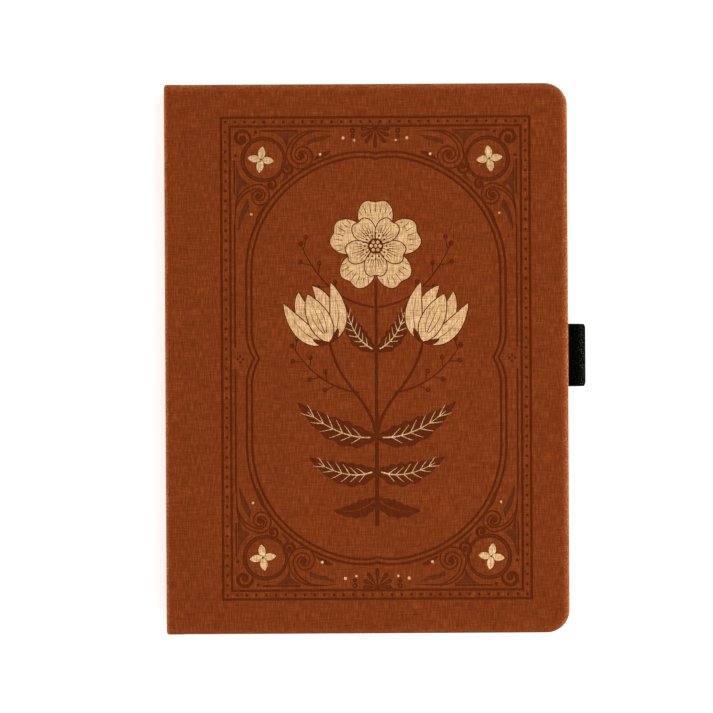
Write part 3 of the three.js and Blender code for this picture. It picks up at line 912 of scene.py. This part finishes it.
# The outlines cut the panel into triangles. Each takes the last shape painted over it, and every
# point that touches pressed ground sinks, so a narrow rim round each shape becomes its slope.
def pressedPanel(border):
    centre, slope = np.array(ornament["centre"]), ornament["slope"]
    cuts = [(border, -1, False)]              # outline, its shape or -1, whether it is the shape's hole
    for number, (kind, outline, hole) in enumerate(design):
        cuts.append((anticlockwise(outline) + centre, number, False))
        if kind != "bare":
            cuts.append((grown(outline, slope) + centre, -1, False))
        if hole is not None:
            cuts.append((anticlockwise(hole) + centre, number, True))
            cuts.append((grown(hole, -slope) + centre, -1, False))
    outlines, owners, holes = zip(*cuts)
    starts = np.r_[0, np.cumsum([len(outline) for outline in outlines])]
    faces = [list(range(start, end)) for start, end in zip(starts, starts[1:])]
    places, _, triangles, _, _, coveredBy = delaunay_2d_cdt(
        [Vector(point) for point in np.vstack(outlines)], [], faces, 1, 1e-4)
    places = np.array([tuple(place) for place in places])
    triangles = np.array([list(triangle) for triangle in triangles])
    owners, holes = np.array(owners), np.array(holes)
    ids = np.concatenate([np.array(ids, int) for ids in coveredBy])
    rows = np.repeat(np.arange(len(triangles)), [len(ids) for ids in coveredBy])
    owned = owners[ids] >= 0
    ids, rows = ids[owned], rows[owned]
    key = rows * len(design) + owners[ids]
    blocked = np.isin(key, key[holes[ids]])
    top = np.full(len(triangles), -1)
    np.maximum.at(top, rows[~blocked], owners[ids[~blocked]])
    slots = {"bare": 0, "ink": 1, "gold": 2, "shade": 3}
    kinds = np.array([slots[kind] for kind, _, _ in design] + [0])[top]
    isLow = np.zeros(len(places), bool)
    isLow[triangles[kinds > 0].ravel()] = True
    return places, triangles, kinds, np.where(isLow, ornament["depth"], 0.0)


# Cloth of the covers

coverSkin = {
    "cornerRadius": 9.0,
    "edgeRadius": 1.0,
    "edgeReach": 2.0,         # how far in from the edge the outer face begins to fall
    "thickness": 0.36,
    "turnIn": 15.0,
    "depth": 3.10,            # outer face to the turn-in's face
    "panelInset": 3.0,
    "arcSteps": 7,
    "cornerSteps": 15,
    "wearAndLightReach": 3.0,         # how far in from the edge the cloth is painted lighter, for rubbed wear and highlight
    "wearAndLight": (0.52, 0.5, 0.26),     # painted lighter edge all round for rubbed wear, with painted highlight more at the fore-edge and more at the head than at the tail
}


# wrapped edge: (inset, depth) of its outer line and its inner line, from the turn-in's end to the face
def rimLines(depth, radius, skin, faceRadius, reach):
    turn = np.linspace(0, pi / 2, coverSkin["arcSteps"])
    lines = []
    for sunk in (0, skin):
        small, faceSmall, faceReach = radius - sunk, faceRadius - sunk, reach - sunk
        lines.append(np.vstack([
            [(coverSkin["turnIn"], depth - sunk)],
            np.c_[radius - small * np.sin(turn), depth - radius + small * np.cos(turn)],
            np.c_[reach - faceReach * np.cos(turn), faceRadius - faceSmall * np.sin(turn)],
            [(coverSkin["panelInset"], sunk)]]))
    return lines


# how far each outer line is painted lighter for rubbed wear and highlight: most at the edge, none on the
# face and on the turn-in
def rimWearAndLight(outer):
    steps = coverSkin["arcSteps"]
    inwards = np.clip(1 - outer[steps + 1:-1, 0] / coverSkin["wearAndLightReach"], 0, 1) ** 1.3
    return np.r_[0, np.linspace(0, 0.85, steps), inwards, 0]


# path round the cover's open side at each inset: seam, two fore-edge corners, seam
def aroundCover(insets):
    insets = np.asarray(insets, float)[:, None]
    radius = np.maximum(coverSkin["cornerRadius"] - insets, 0.5)
    middleX = book["foreEdge"] - insets - radius
    middleY = book["halfHeight"] - insets - radius
    lower, upper = np.linspace([-pi / 2, 0], [0, pi / 2], coverSkin["cornerSteps"], axis=1)[:, None]
    seam = np.full_like(insets, book["seam"])
    x = np.hstack([seam, middleX + radius * np.cos(lower), middleX + radius * np.cos(upper), seam])
    y = np.hstack([-(middleY + radius), -middleY + radius * np.sin(lower),
                   middleY + radius * np.sin(upper), middleY + radius])
    turns = np.r_[lower[0], upper[0]]
    normals = np.vstack([(0, -1), np.c_[np.cos(turns), np.sin(turns)], (0, 1)])
    return np.stack([x, y], -1), normals


# one closed skin: the outer and the inner side of the wrapped edge, strips that join them at the seam
# and along the turn-in's end, the inner face, and the outer face, which holds the ornament at the front
def coverCloth(name, isFront):
    skin = coverSkin
    outer, inner = rimLines(skin["depth"], skin["edgeRadius"], skin["thickness"], skin["edgeRadius"],
                            skin["edgeReach"])
    count, run = len(outer), runLength(outer)
    beyond = run[-1] - run - (skin["panelInset"] - skin["edgeReach"])
    base, normals = aroundCover([skin["edgeReach"]])
    points = []
    for line in (outer, inner):
        path, _ = aroundCover(line[:, 0])
        points.append(gridPoints(path[..., 0], path[..., 1], line[:, 1:]))
    sheet = asRows(base + normals[None] * beyond[:, None, None])
    columns = points[0].shape[1]
    total = count * columns
    quads = gridFaces(count, columns)
    index = np.arange(2 * total).reshape(2, count, columns)
    ends = [np.stack([strip[0, :-1], strip[0, 1:], strip[1, 1:], strip[1, :-1]], -1)
            for strip in (index[:, :, 0], index[:, :, -1], index[:, 0])]
    ends.append([[index[0, -1, 0], index[0, -1, -1], index[1, -1, -1], index[1, -1, 0]]])
    faces = [*np.vstack([quads, quads + total] + ends), index[1, -1]]
    # the edge is painted lighter all round for rubbed wear, and a painted highlight is added at the
    # fore-edge and at the head and taken off at the tail
    allRound, foreEdge, head = skin["wearAndLight"]
    share = allRound + foreEdge * normals[:, 0] + head * normals[:, 1]
    wornAndLit = np.r_[(rimWearAndLight(outer)[:, None] * share).ravel(), np.zeros(total)]
    kinds = [0] * len(faces)
    points, sheets = np.vstack([asRows(side) for side in points]), np.vstack([sheet, sheet])
    if isFront:
        places, triangles, panelKinds, depth = pressedPanel(points[total - columns:total, :2])
        points, sheets = np.vstack([points, np.c_[places, depth]]), np.vstack([sheets, places])
        wornAndLit = np.r_[wornAndLit, np.zeros(len(places))]
        faces += list(triangles + 2 * total)
        kinds += list(panelKinds)
        turnToFront(points)
    else:
        faces.append(index[0, -1])
        kinds.append(0)
        sheets[:, 0] = 2 * spineMiddleSheet - sheets[:, 0]
    materials = [coverLinen, pressedLinen, goldFoil, shadedLinen]
    return putMesh(name, points, faces, materials, sheets, kinds, wornAndLit=wornAndLit)


# Cloth of the spine and its joints

spineSkin = {
    "edgeRadius": 1.6,
    "wallReach": 1.6,          # rounding of the corners at head and tail, along the spine
    "wallRadius": 1.2,         # and into the joint
    "grooveCentre": -72.85,
    "grooveWidth": 6.0,
    "grooveDepth": 0.1,
    "boardStart": -71.25,
    "jointDepth": 0.82,
    "cornerDepth": 1.25,
    "wallDepth": 1.9,
    # edges of the spine cloth painted lighter at head and tail: rubbed wear, with painted highlight stronger
    # at the head
    "headWearAndLight": 0.85,
    "tailWearAndLight": 0.35,
}


# section from a seam to the middle of the spine: face with its groove, quarter round, wall;
# for each place its normal, its cloth's depth at head and tail, how that is rounded, and how much it is
# painted lighter for rubbed wear and highlight
def spineSection():
    face, radius = book["spineFace"], spineSkin["edgeRadius"]
    x = np.linspace(book["seam"], face + radius, 34)
    groove = np.clip(1 - ((x - spineSkin["grooveCentre"]) / (spineSkin["grooveWidth"] / 2)) ** 2, 0, 1)
    low = spineSkin["grooveDepth"] * groove ** 1.5
    turn = np.linspace(0, pi / 2, 17)[1:]
    level = np.r_[radius + np.array([0.08, 0.3, 0.8]), np.linspace(4, book["thickness"] / 2, 5)]
    places = np.vstack([
        np.c_[x, low],
        np.c_[face + radius - radius * np.sin(turn), radius - radius * np.cos(turn)],
        np.c_[np.full_like(level, face), level]])
    normals = np.vstack([
        np.c_[np.gradient(low, x), np.ones_like(x)],
        np.c_[np.sin(turn), np.cos(turn)],
        np.c_[np.ones_like(level), np.zeros_like(level)]])
    normals /= np.linalg.norm(normals, axis=1, keepdims=True)
    joint, wall = spineSkin["jointDepth"], spineSkin["wallDepth"]
    board = smoothStep(x, spineSkin["boardStart"] - 1.4, spineSkin["boardStart"])
    depth = np.r_[
        joint + (coverSkin["depth"] - joint) * board,
        np.linspace(joint, spineSkin["cornerDepth"], len(turn)),
        1.3, 1.84, wall, np.full(len(level) - 3, wall)]
    bent = np.r_[np.zeros(len(x)), smoothStep(turn, 0, pi / 2), np.ones(len(level))]
    faceRadius = np.minimum(depth * (0.5 + 0.14 * bent),
                            coverSkin["edgeRadius"] * (1 - bent) + spineSkin["wallRadius"] * bent)
    reach = ((1 - bent) * coverSkin["edgeReach"] / coverSkin["edgeRadius"] * faceRadius
             + bent * spineSkin["wallReach"])
    # painted lighter along the rounded fold of the spine and the top of its wall: rubbed wear and painted
    # highlight
    wearAndLight = np.r_[np.zeros(len(x)), np.sin(np.clip(turn * 1.25, 0, pi / 2)),
                 np.clip(1 - (level - radius) / 1.2, 0.15, 1)]
    return (places, normals, depth, faceRadius, reach, wearAndLight, runLength(places)), len(x) + len(turn) // 2


section, halfTurn = spineSection()
spineMiddleSheet = book["seam"] - section[6][-1]


# closed band: at each place of the section the wrapped edges at head and tail join the two faces
def spineCloth(name, first, last, isFront):
    skin, edge, steps = coverSkin["thickness"], book["halfHeight"], coverSkin["arcSteps"]
    loops, sheets, wornAndLit = [], [], []
    for place, normal, deep, faceRadius, reach, wearAndLight, along in zip(*[part[first:last] for part in section]):
        radius = min(coverSkin["edgeRadius"], deep - faceRadius)
        outer, inner = rimLines(deep, radius, min(skin, radius * 0.9, faceRadius * 0.9), faceRadius, reach)
        rim = rimWearAndLight(outer)
        head, tail = spineSkin["headWearAndLight"] * rim, spineSkin["tailWearAndLight"] * rim
        for line in (head, tail):
            line[steps + 1:] = np.maximum(line[steps + 1:], 0.9 * wearAndLight)
        wornAndLit.append(np.r_[head, tail[::-1], np.zeros(2 * len(rim))])
        far = runLength(outer)
        beyond = edge - coverSkin["panelInset"] + far[-1] - far
        y = np.r_[edge - outer[:, 0], (outer[:, 0] - edge)[::-1],
                  inner[:, 0] - edge, (edge - inner[:, 0])[::-1]]
        down = np.r_[outer[:, 1], outer[::-1, 1], inner[:, 1], inner[::-1, 1]]
        loops.append(np.c_[place[0] + normal[0] * down, y, place[1] + normal[1] * down])
        sheetY = np.r_[beyond, -beyond[::-1], -beyond, beyond[::-1]]
        sheets.append(np.c_[np.full_like(sheetY, book["seam"] - along), sheetY])
    rows, columns = len(loops), len(loops[0])
    faces = [*gridFaces(rows, columns, closeColumns=True)]
    for start in (0, (rows - 1) * columns):
        step = start + np.arange(columns // 2 - 1)
        back = 2 * start + columns - 1 - step
        faces += [*np.stack([step, step + 1, back - 1, back], -1)]
    points, sheets = np.vstack(loops), np.vstack(sheets)
    if isFront:
        turnToFront(points)
    else:
        sheets[:, 0] = 2 * spineMiddleSheet - sheets[:, 0]
    return putMesh(name, points, faces, [coverLinen], sheets, sharpAngle=40, wornAndLit=np.concatenate(wornAndLit))


frontCloth = coverCloth("front_cover_linen", True)
backCloth = coverCloth("back_cover_linen", False)
frontSpine = spineCloth("spine_linen_front", 0, None, True)
backJoint = spineCloth("joint_linen_back", 0, halfTurn, False)
backSpine = spineCloth("spine_linen_back", halfTurn - 1, None, False)
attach(frontCloth, "front_cover")
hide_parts("front_cover_cloth")
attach(backCloth, "back_cover")
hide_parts("back_cover_cloth")
# the joint bends from the cover's face, over the rounded edge, to the spine's wall
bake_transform(frontSpine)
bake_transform(backJoint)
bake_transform(backSpine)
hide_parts("spine_cloth")
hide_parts("spine_cloth")
print("cover cloth made")

# Pen loop: a ribbed elastic band round its bore, with both ends in one flat tongue

strap = {
    "centre": (81.65, 8.3),
    "outerRadius": 5.4,
    "thickness": 1.1,
    "root": (79.85, 2.3),
    "rootRadius": 0.8,
    "middleY": 1.0,
    "width": 24.8,
    "selvage": 0.45,
    "ribPitch": 0.92,
    "ribHeight": 0.07,
    "knitPitch": 0.55,
    "drawIn": 0.07,
    "drawInReach": 1.2,
    "tongueStart": 64.25,
    "tongueThickness": 1.5,
    "lighterOutwards": (83.6, 86.0),       # from here outwards the light yarn shows more
    "darkYarn": srgb(3, 3, 1),
    "lightYarn": srgb(98, 98, 84),
}

elasticMaterial = newMaterial("ribbedElastic", srgb(9, 9, 7), 0.8, 0, 0.0)
band = sheetOf(elasticMaterial)
roundRun, acrossBand, _ = band.split()
knit = roundRun.ribs(strap["knitPitch"] * mm)
yarn = acrossBand.ribs(strap["ribPitch"] * mm) * (0.6 + knit * 0.4)
fuzz = band.node("ShaderNodeVectorMath", {0: band, 1: (1.0, 1.4, 1.0)}, operation="MULTIPLY")
fuzz = fuzz.noise(1500.0, 3.0, 0.7)
outwards = signalsOf(newNode(elasticMaterial.node_tree, "ShaderNodeTexCoord"))["Object"].split()[0]
# the light yarn shows more towards the loop's outer side, by the object's x
outerFold = outwards.ramp(*[place * mm for place in strap["lighterOutwards"]])
lightYarn = fuzz.ramp(0.55, 0.68) * yarn * (0.22 + outerFold * 1.3)
colour = lightYarn.mix(strap["darkYarn"], strap["lightYarn"])
addPattern(elasticMaterial, colour, yarn + fuzz * 0.5, 0.6, 0.12)


# belt round a large and a small circle: two arcs and the straight runs between them
def beltPath(radius, tipRadius, big=56, small=10, straight=7):
    centre, root = np.array(strap["centre"]), np.array(strap["root"])
    towards = np.arctan2(*(root - centre)[::-1])
    spread = np.arccos((radius - tipRadius) / np.linalg.norm(root - centre))
    large = np.linspace(towards + spread, towards - spread + 2 * pi, big)
    little = np.linspace(towards - spread, towards + spread, small)
    largeArc = centre + radius * np.c_[np.cos(large), np.sin(large)]
    littleArc = root + tipRadius * np.c_[np.cos(little), np.sin(little)]
    share = np.linspace(0, 1, straight)[1:-1, None]
    down = largeArc[-1] * (1 - share) + littleArc[0] * share
    up = littleArc[-1] * (1 - share) + largeArc[0] * share
    return np.vstack([largeArc, down, littleArc, up])


# closed section of the band: ribs on both faces, rounded selvages; (across, out from the middle)
def bandSection(thickness):
    selvage, height = strap["selvage"], strap["ribHeight"]
    straight = strap["width"] / 2 - selvage
    across = np.linspace(-straight, straight, 101)
    flat = thickness / 2 - height
    end = np.linspace(-pi / 2, pi / 2, 7)[1:-1]
    right = np.c_[straight + selvage * np.cos(end), flat * np.sin(end)]
    face = np.c_[across, flat + height * np.abs(np.sin(pi * across / strap["ribPitch"]))]
    return np.vstack([face * (1, -1), right, face[::-1], (right * (-1, 1))[::-1]])


def penLoop():
    half = strap["thickness"] / 2
    middle = beltPath(strap["outerRadius"] - half, max(strap["rootRadius"] - half, 0.2))
    normals = -unitNormals(middle, closed=True)
    across, lift = bandSection(strap["thickness"]).T
    out = middle[:, None] + normals[:, None] * lift[None, :, None]
    # the selvages draw in where the band turns at its outer fold
    fold = out[..., 0].max()
    waist = 1 - strap["drawIn"] * smoothStep(out[..., 0], fold - strap["drawInReach"], fold) ** 2
    loop = gridPoints(out[..., 0], strap["middleY"] + across * waist, out[..., 1])
    loopSheet = gridPoints(runLength(middle)[:, None], across)
    rows, columns = loop.shape[:2]
    faces = [*gridFaces(rows, columns, closeColumns=True, closeRows=True)]
    x = np.linspace(strap["tongueStart"], strap["root"][0], 12)[:, None]
    across, lift = bandSection(strap["tongueThickness"]).T
    tongue = gridPoints(x, strap["middleY"] + across, strap["root"][1] + lift)
    faces += tubeFaces(len(x), columns, rows * columns)
    return putMesh("pen_loop_elastic", np.vstack([asRows(loop), asRows(tongue)]), faces, [elasticMaterial],
                   np.vstack([asRows(loopSheet), asRows(gridPoints(x - 120, across))]), sharpAngle=50)


loop = penLoop()
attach(loop, "back_cover")
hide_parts("pen_loop")
print("pen loop made")

# Paper and board that keep the frame's own shapes

inside = {
    "page": srgb(226, 219, 200),
    "pageFleck": srgb(196, 184, 154),
    "leafShadow": srgb(196, 182, 152),
    "leafPitch": 0.174,
    "dot": srgb(142, 139, 134),
    "dotPitch": 5.0,
    "dotRadius": 0.27,
    "dotReach": (72.6, 101.0),
    "endpaper": srgb(211, 195, 162),
    "endpaperFleck": srgb(196, 174, 134),
    "card": srgb(202, 184, 148),
    "cardFleck": srgb(170, 144, 104),
    "board": srgb(138, 133, 124),
    "boardFleck": srgb(78, 74, 68),
}


# fibres in the paper; on cut edges one tone for each leaf; on page faces a square grid of dots
def paperMaterial(name, base, fleck, amount, bump=0.25, isPage=False):
    material = newMaterial(name, base, 0.9, 0, 0.2)
    place = signalsOf(newNode(material.node_tree, "ShaderNodeTexCoord"))
    fibre = useGroup(material, paperGroup, Place=place["Object"], Base=base, Fleck=fleck, Amount=amount)
    colour = fibre["Color"]
    if isPage:
        x, y, z = place["Object"].split()
        facing = abs(place["Normal"].split()[2])
        leaves = joined(x * 60.0, y * 60.0, z / (inside["leafPitch"] * mm)).noise(1.0)
        share = leaves.ramp(0.42, 0.72) * facing.maths("LESS_THAN", 0.5) * 0.7
        colour = share.mix(colour, inside["leafShadow"])
        squares = []
        mask = facing.maths("GREATER_THAN", 0.9)
        for value, reach in zip((x, y), inside["dotReach"]):
            step = (value / (inside["dotPitch"] * mm)).maths("FRACT") - 0.5
            squares.append(step * step)
            mask = mask * abs(value).maths("LESS_THAN", reach * mm)
        size = (inside["dotRadius"] / inside["dotPitch"]) ** 2
        dot = (squares[0] + squares[1]).ramp(size * 1.3, size * 0.7)
        colour = (dot * mask).mix(colour, inside["dot"])
    addPattern(material, colour, fibre["Height"], bump, 0.03)
    return material


def dress(material, names):
    for name in names:
        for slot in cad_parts[name].material_slots:
            slot.material = material


pagePaper = paperMaterial("pagePaper", inside["page"], inside["pageFleck"], 0.3, isPage=True)
endpaper = paperMaterial("endpaper", inside["endpaper"], inside["endpaperFleck"], 0.5, 0.35)
pocketCard = paperMaterial("pocketCard", inside["card"], inside["cardFleck"], 0.6, 0.4)
greyBoard = paperMaterial("greyBoard", inside["board"], inside["boardFleck"], 0.9, 0.7)
dress(pagePaper, ["signature_%02d" % number for number in range(1, 11)])
dress(endpaper, ["back_pastedown", "front_pastedown", "back_flyleaf", "front_flyleaf"])
dress(pocketCard, ["pocket_panel", "pocket_gusset_spine_side", "pocket_gusset_fore_side"])
dress(greyBoard, ["back_board", "front_board", "spine_strip"])
print("paper and board dressed")

# Fold of each endpaper across the joint, lining, thread and endbands on the back of the block

binding = {
    "foldThickness": 0.14,
    "foldReach": 103.5,
    "pastedownEdge": (-74.3, 3.22),
    "flyleafEdge": (-76.33, 4.07),
    "bandPitch": 0.62,         # one wound thread of an endband
    "bandStripe": 1.24,
    "bandFlange": 0.25,
    "threadPitch": 1.1,        # one turn of the twisted thread
    "threadStep": 0.45,        # between rings of points along it
    "threadEnd": 0.4,          # its rounded end
    "stations": 6,             # where the thread crosses the block's back
    "strands": (-0.4, 0, 0.4),
    "stationReach": 88.0,      # how far up and down the stations show under the lining
}


# S-shaped fold: depth rises as a smooth step along the way from the pastedown to the flyleaf
def endpaperFold(name, isFront):
    (startX, startZ), (endX, endZ) = binding["pastedownEdge"], binding["flyleafEdge"]
    share = np.linspace(0, 1, 17)
    path = np.c_[startX + (endX - startX) * share, startZ + (endZ - startZ) * smoothStep(share, 0, 1)]
    y = np.linspace(-binding["foldReach"], binding["foldReach"], 41)
    grids = []
    for side in (-0.5, 0.5):
        line = path + unitNormals(path) * side * binding["foldThickness"]
        grids.append(gridPoints(line[:, :1], y, line[:, 1:]))
        if isFront:
            turnToFront(grids[-1])
    return putMesh(name, *closedShell(*grids), [endpaper])


backFold = endpaperFold("endpaper_fold_back", False)
frontFold = endpaperFold("endpaper_fold_front", True)
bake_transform(backFold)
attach(frontFold, "front_cover")

# striped silk of the endbands: two colours in turn along the bead, thread by thread
bandMaterial = newMaterial("endbandSilk", srgb(116, 52, 24), 0.55, 0, 0.35)
around, level, _ = sheetOf(bandMaterial).split()
stripe = (level / (2 * binding["bandStripe"] * mm)).maths("FRACT").maths("GREATER_THAN", 0.5)
ply = joined(around * 900.0, level * 7000.0).noise(1.0)
colour = stripe.mix(srgb(122, 54, 24), srgb(228, 214, 180))
addPattern(bandMaterial, (ply.ramp(0.45, 0.75) * 0.4).mix(colour, srgb(70, 30, 14)), ply, 0.4, 0.05)

# waxed linen thread and the open cloth of the lining
threadMaterial = newMaterial("waxedThread", srgb(236, 228, 206), 0.5, 0, 0.4)
around, level, _ = sheetOf(threadMaterial).split()
twist = (level / (binding["threadPitch"] * mm / 2) + around).ribs()
# painted shade in the grooves of the twist and painted highlight on its ridges
colour = twist.ramp(0.0, 0.5).mix(srgb(178, 160, 122), srgb(240, 233, 212))
addPattern(threadMaterial, colour, twist, 0.6, 0.05)
liningCloth = clothMaterial("liningCloth", srgb(214, 203, 178), srgb(168, 152, 120), srgb(238, 232, 214),
                            streaks=1.2, bump=0.8)


# endband: flange on the block's back and three quarters of a bead, whose radius swells at each wound thread
def endbandPiece(node, end):
    (lowX, nearY, lowZ), (highX, farY, highZ) = boxOf(node)
    lowY, highY = sorted((abs(nearY), abs(farY)))
    radius = (highX - lowX) / 2
    z = np.linspace(lowZ, highZ, int((highZ - lowZ) / binding["bandPitch"] * 8) + 1)
    swell = 0.82 + 0.18 * np.abs(np.sin(pi * (z - lowZ) / binding["bandPitch"])) ** 0.7
    angle = np.linspace(-pi / 2, pi, 22)
    bead = np.stack([(lowX + highX) / 2 + radius * swell[:, None] * np.cos(angle),
                     highY - radius + radius * swell[:, None] * np.sin(angle)], -1)
    levels = np.array([highY - 2 * radius, (lowY + highY) / 2, lowY])
    flange = np.c_[np.repeat([lowX, lowX + binding["bandFlange"]], 3), np.r_[levels, levels[::-1]]]
    loops = np.concatenate([bead, np.broadcast_to(flange, (len(z), 6, 2))], 1)
    points = gridPoints(loops[..., 0], loops[..., 1] * end, z[:, None])
    sheet = gridPoints(runLength(loops[0]), z[:, None])
    piece = putMesh(node + "_silk", asRows(points), tubeFaces(*points.shape[:2]), [bandMaterial],
                    asRows(sheet), sharpAngle=60)
    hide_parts(node)
    return piece


# closed tube of flattened section between two points, its radius waving with the twist of its plies
def threadRun(start, end, halfX, halfAcross, isAlongY):
    start, end = np.array(start, float), np.array(end, float)
    length = np.linalg.norm(end - start)
    rows = max(int(length / binding["threadStep"]), 6) + 1
    share = np.linspace(0, 1, rows)[:, None]
    angle = np.linspace(0, 2 * pi, 9)[None, :-1]
    wave = 1 + 0.12 * np.cos(2 * angle + 2 * pi * share * length / binding["threadPitch"])
    taper = np.sqrt(np.clip(1 - np.abs(2 * share - 1) ** (length / binding["threadEnd"]), 0.05, 1))
    out = halfX * 0.88 * wave * taper * np.cos(angle)
    aside = halfAcross * 0.88 * wave * taper * np.sin(angle)
    middle = start + (end - start) * share
    y = middle[:, 1:2] + (0 if isAlongY else aside)
    z = middle[:, 2:] + (aside if isAlongY else 0)
    points = gridPoints(middle[:, :1] + out, y, z)
    return asRows(points), asRows(gridPoints(angle / pi / mm, share * length)), tubeFaces(rows, 8)


# one long stitch inside the innermost fold's line, and three strands side by side at each station
def threadPiece(node, runZ):
    (lowX, lowY, lowZ), (highX, highY, highZ) = boxOf(node)
    x, halfX = (lowX + highX) / 2, (highX - lowX) / 2
    parts = [threadRun((x, lowY + 0.7, runZ), (x, highY - 0.7, runZ), halfX, 0.25, True)]
    for y in np.linspace(lowY + 0.6, highY - 0.6, binding["stations"]):
        parts += [threadRun((x, y + shift, lowZ), (x, y + shift, highZ), halfX, 0.2, False)
                  for shift in binding["strands"]]
    points, sheets, faces = zip(*parts)
    starts = np.r_[0, np.cumsum([len(part) for part in points])]
    faces = [face + start for start, part in zip(starts, faces) for face in part]
    piece = putMesh(node + "_strands", np.vstack(points), faces, [threadMaterial], np.vstack(sheets),
                    mergeBelow=0.0005, sharpAngle=60)
    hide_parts(node)
    return piece


# thin cloth over the stitches: its outer face stands out a little where a strand lies beneath
def liningPiece(node):
    (lowX, lowY, lowZ), (highX, highY, highZ) = boxOf(node)
    z, y = np.linspace(lowZ, highZ, 15)[:, None], np.linspace(lowY, highY, 191)
    stations = np.linspace(-binding["stationReach"], binding["stationReach"], binding["stations"])
    rise = np.exp(-((y[:, None] - stations) / 1.3) ** 2).sum(1)
    outer = lowX + 0.07 * (1 - rise) + 0.012 * np.sin(y * 2.1) * np.sin(z * 3.0)
    points, faces = closedShell(gridPoints(outer, y, z), gridPoints(highX, y, z))
    piece = putMesh(node + "_cloth", points, faces, [liningCloth], points[:, 1:])
    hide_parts(node)
    return piece


splitZ = book["thickness"] / 2 + 0.3          # the block parts here, between two signatures
for side, towards in (("back", -1), ("front", 1)):
    body = side + "_half_block"
    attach(endbandPiece("endband_head_" + side, 1), body)
    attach(endbandPiece("endband_tail_" + side, -1), body)
    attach(threadPiece("sewing_thread_" + side, splitZ + towards * 0.75), body)
    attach(liningPiece("spine_lining_" + side), body)
print("binding made")

# Floor

ground = {"reach": 9, "height": -0.0002, "glow": 0.44}       # metres; the glow keeps the shadows pale
floorMaterial = newMaterial("floorPaper", (0.9, 0.9, 0.89), 0.9, 0, 0.1, **{
    "Emission Color": (1, 0.99, 0.97), "Emission Strength": ground["glow"]})
floorMesh = bpy.data.meshes.new("floor")
floorMesh.from_pydata([(x, y, ground["height"]) for x, y in rectangle(ground["reach"], ground["reach"])], [],
                      [(0, 1, 2, 3)])
floorMesh.materials.append(floorMaterial)
floor = addObject("floor", floorMesh)
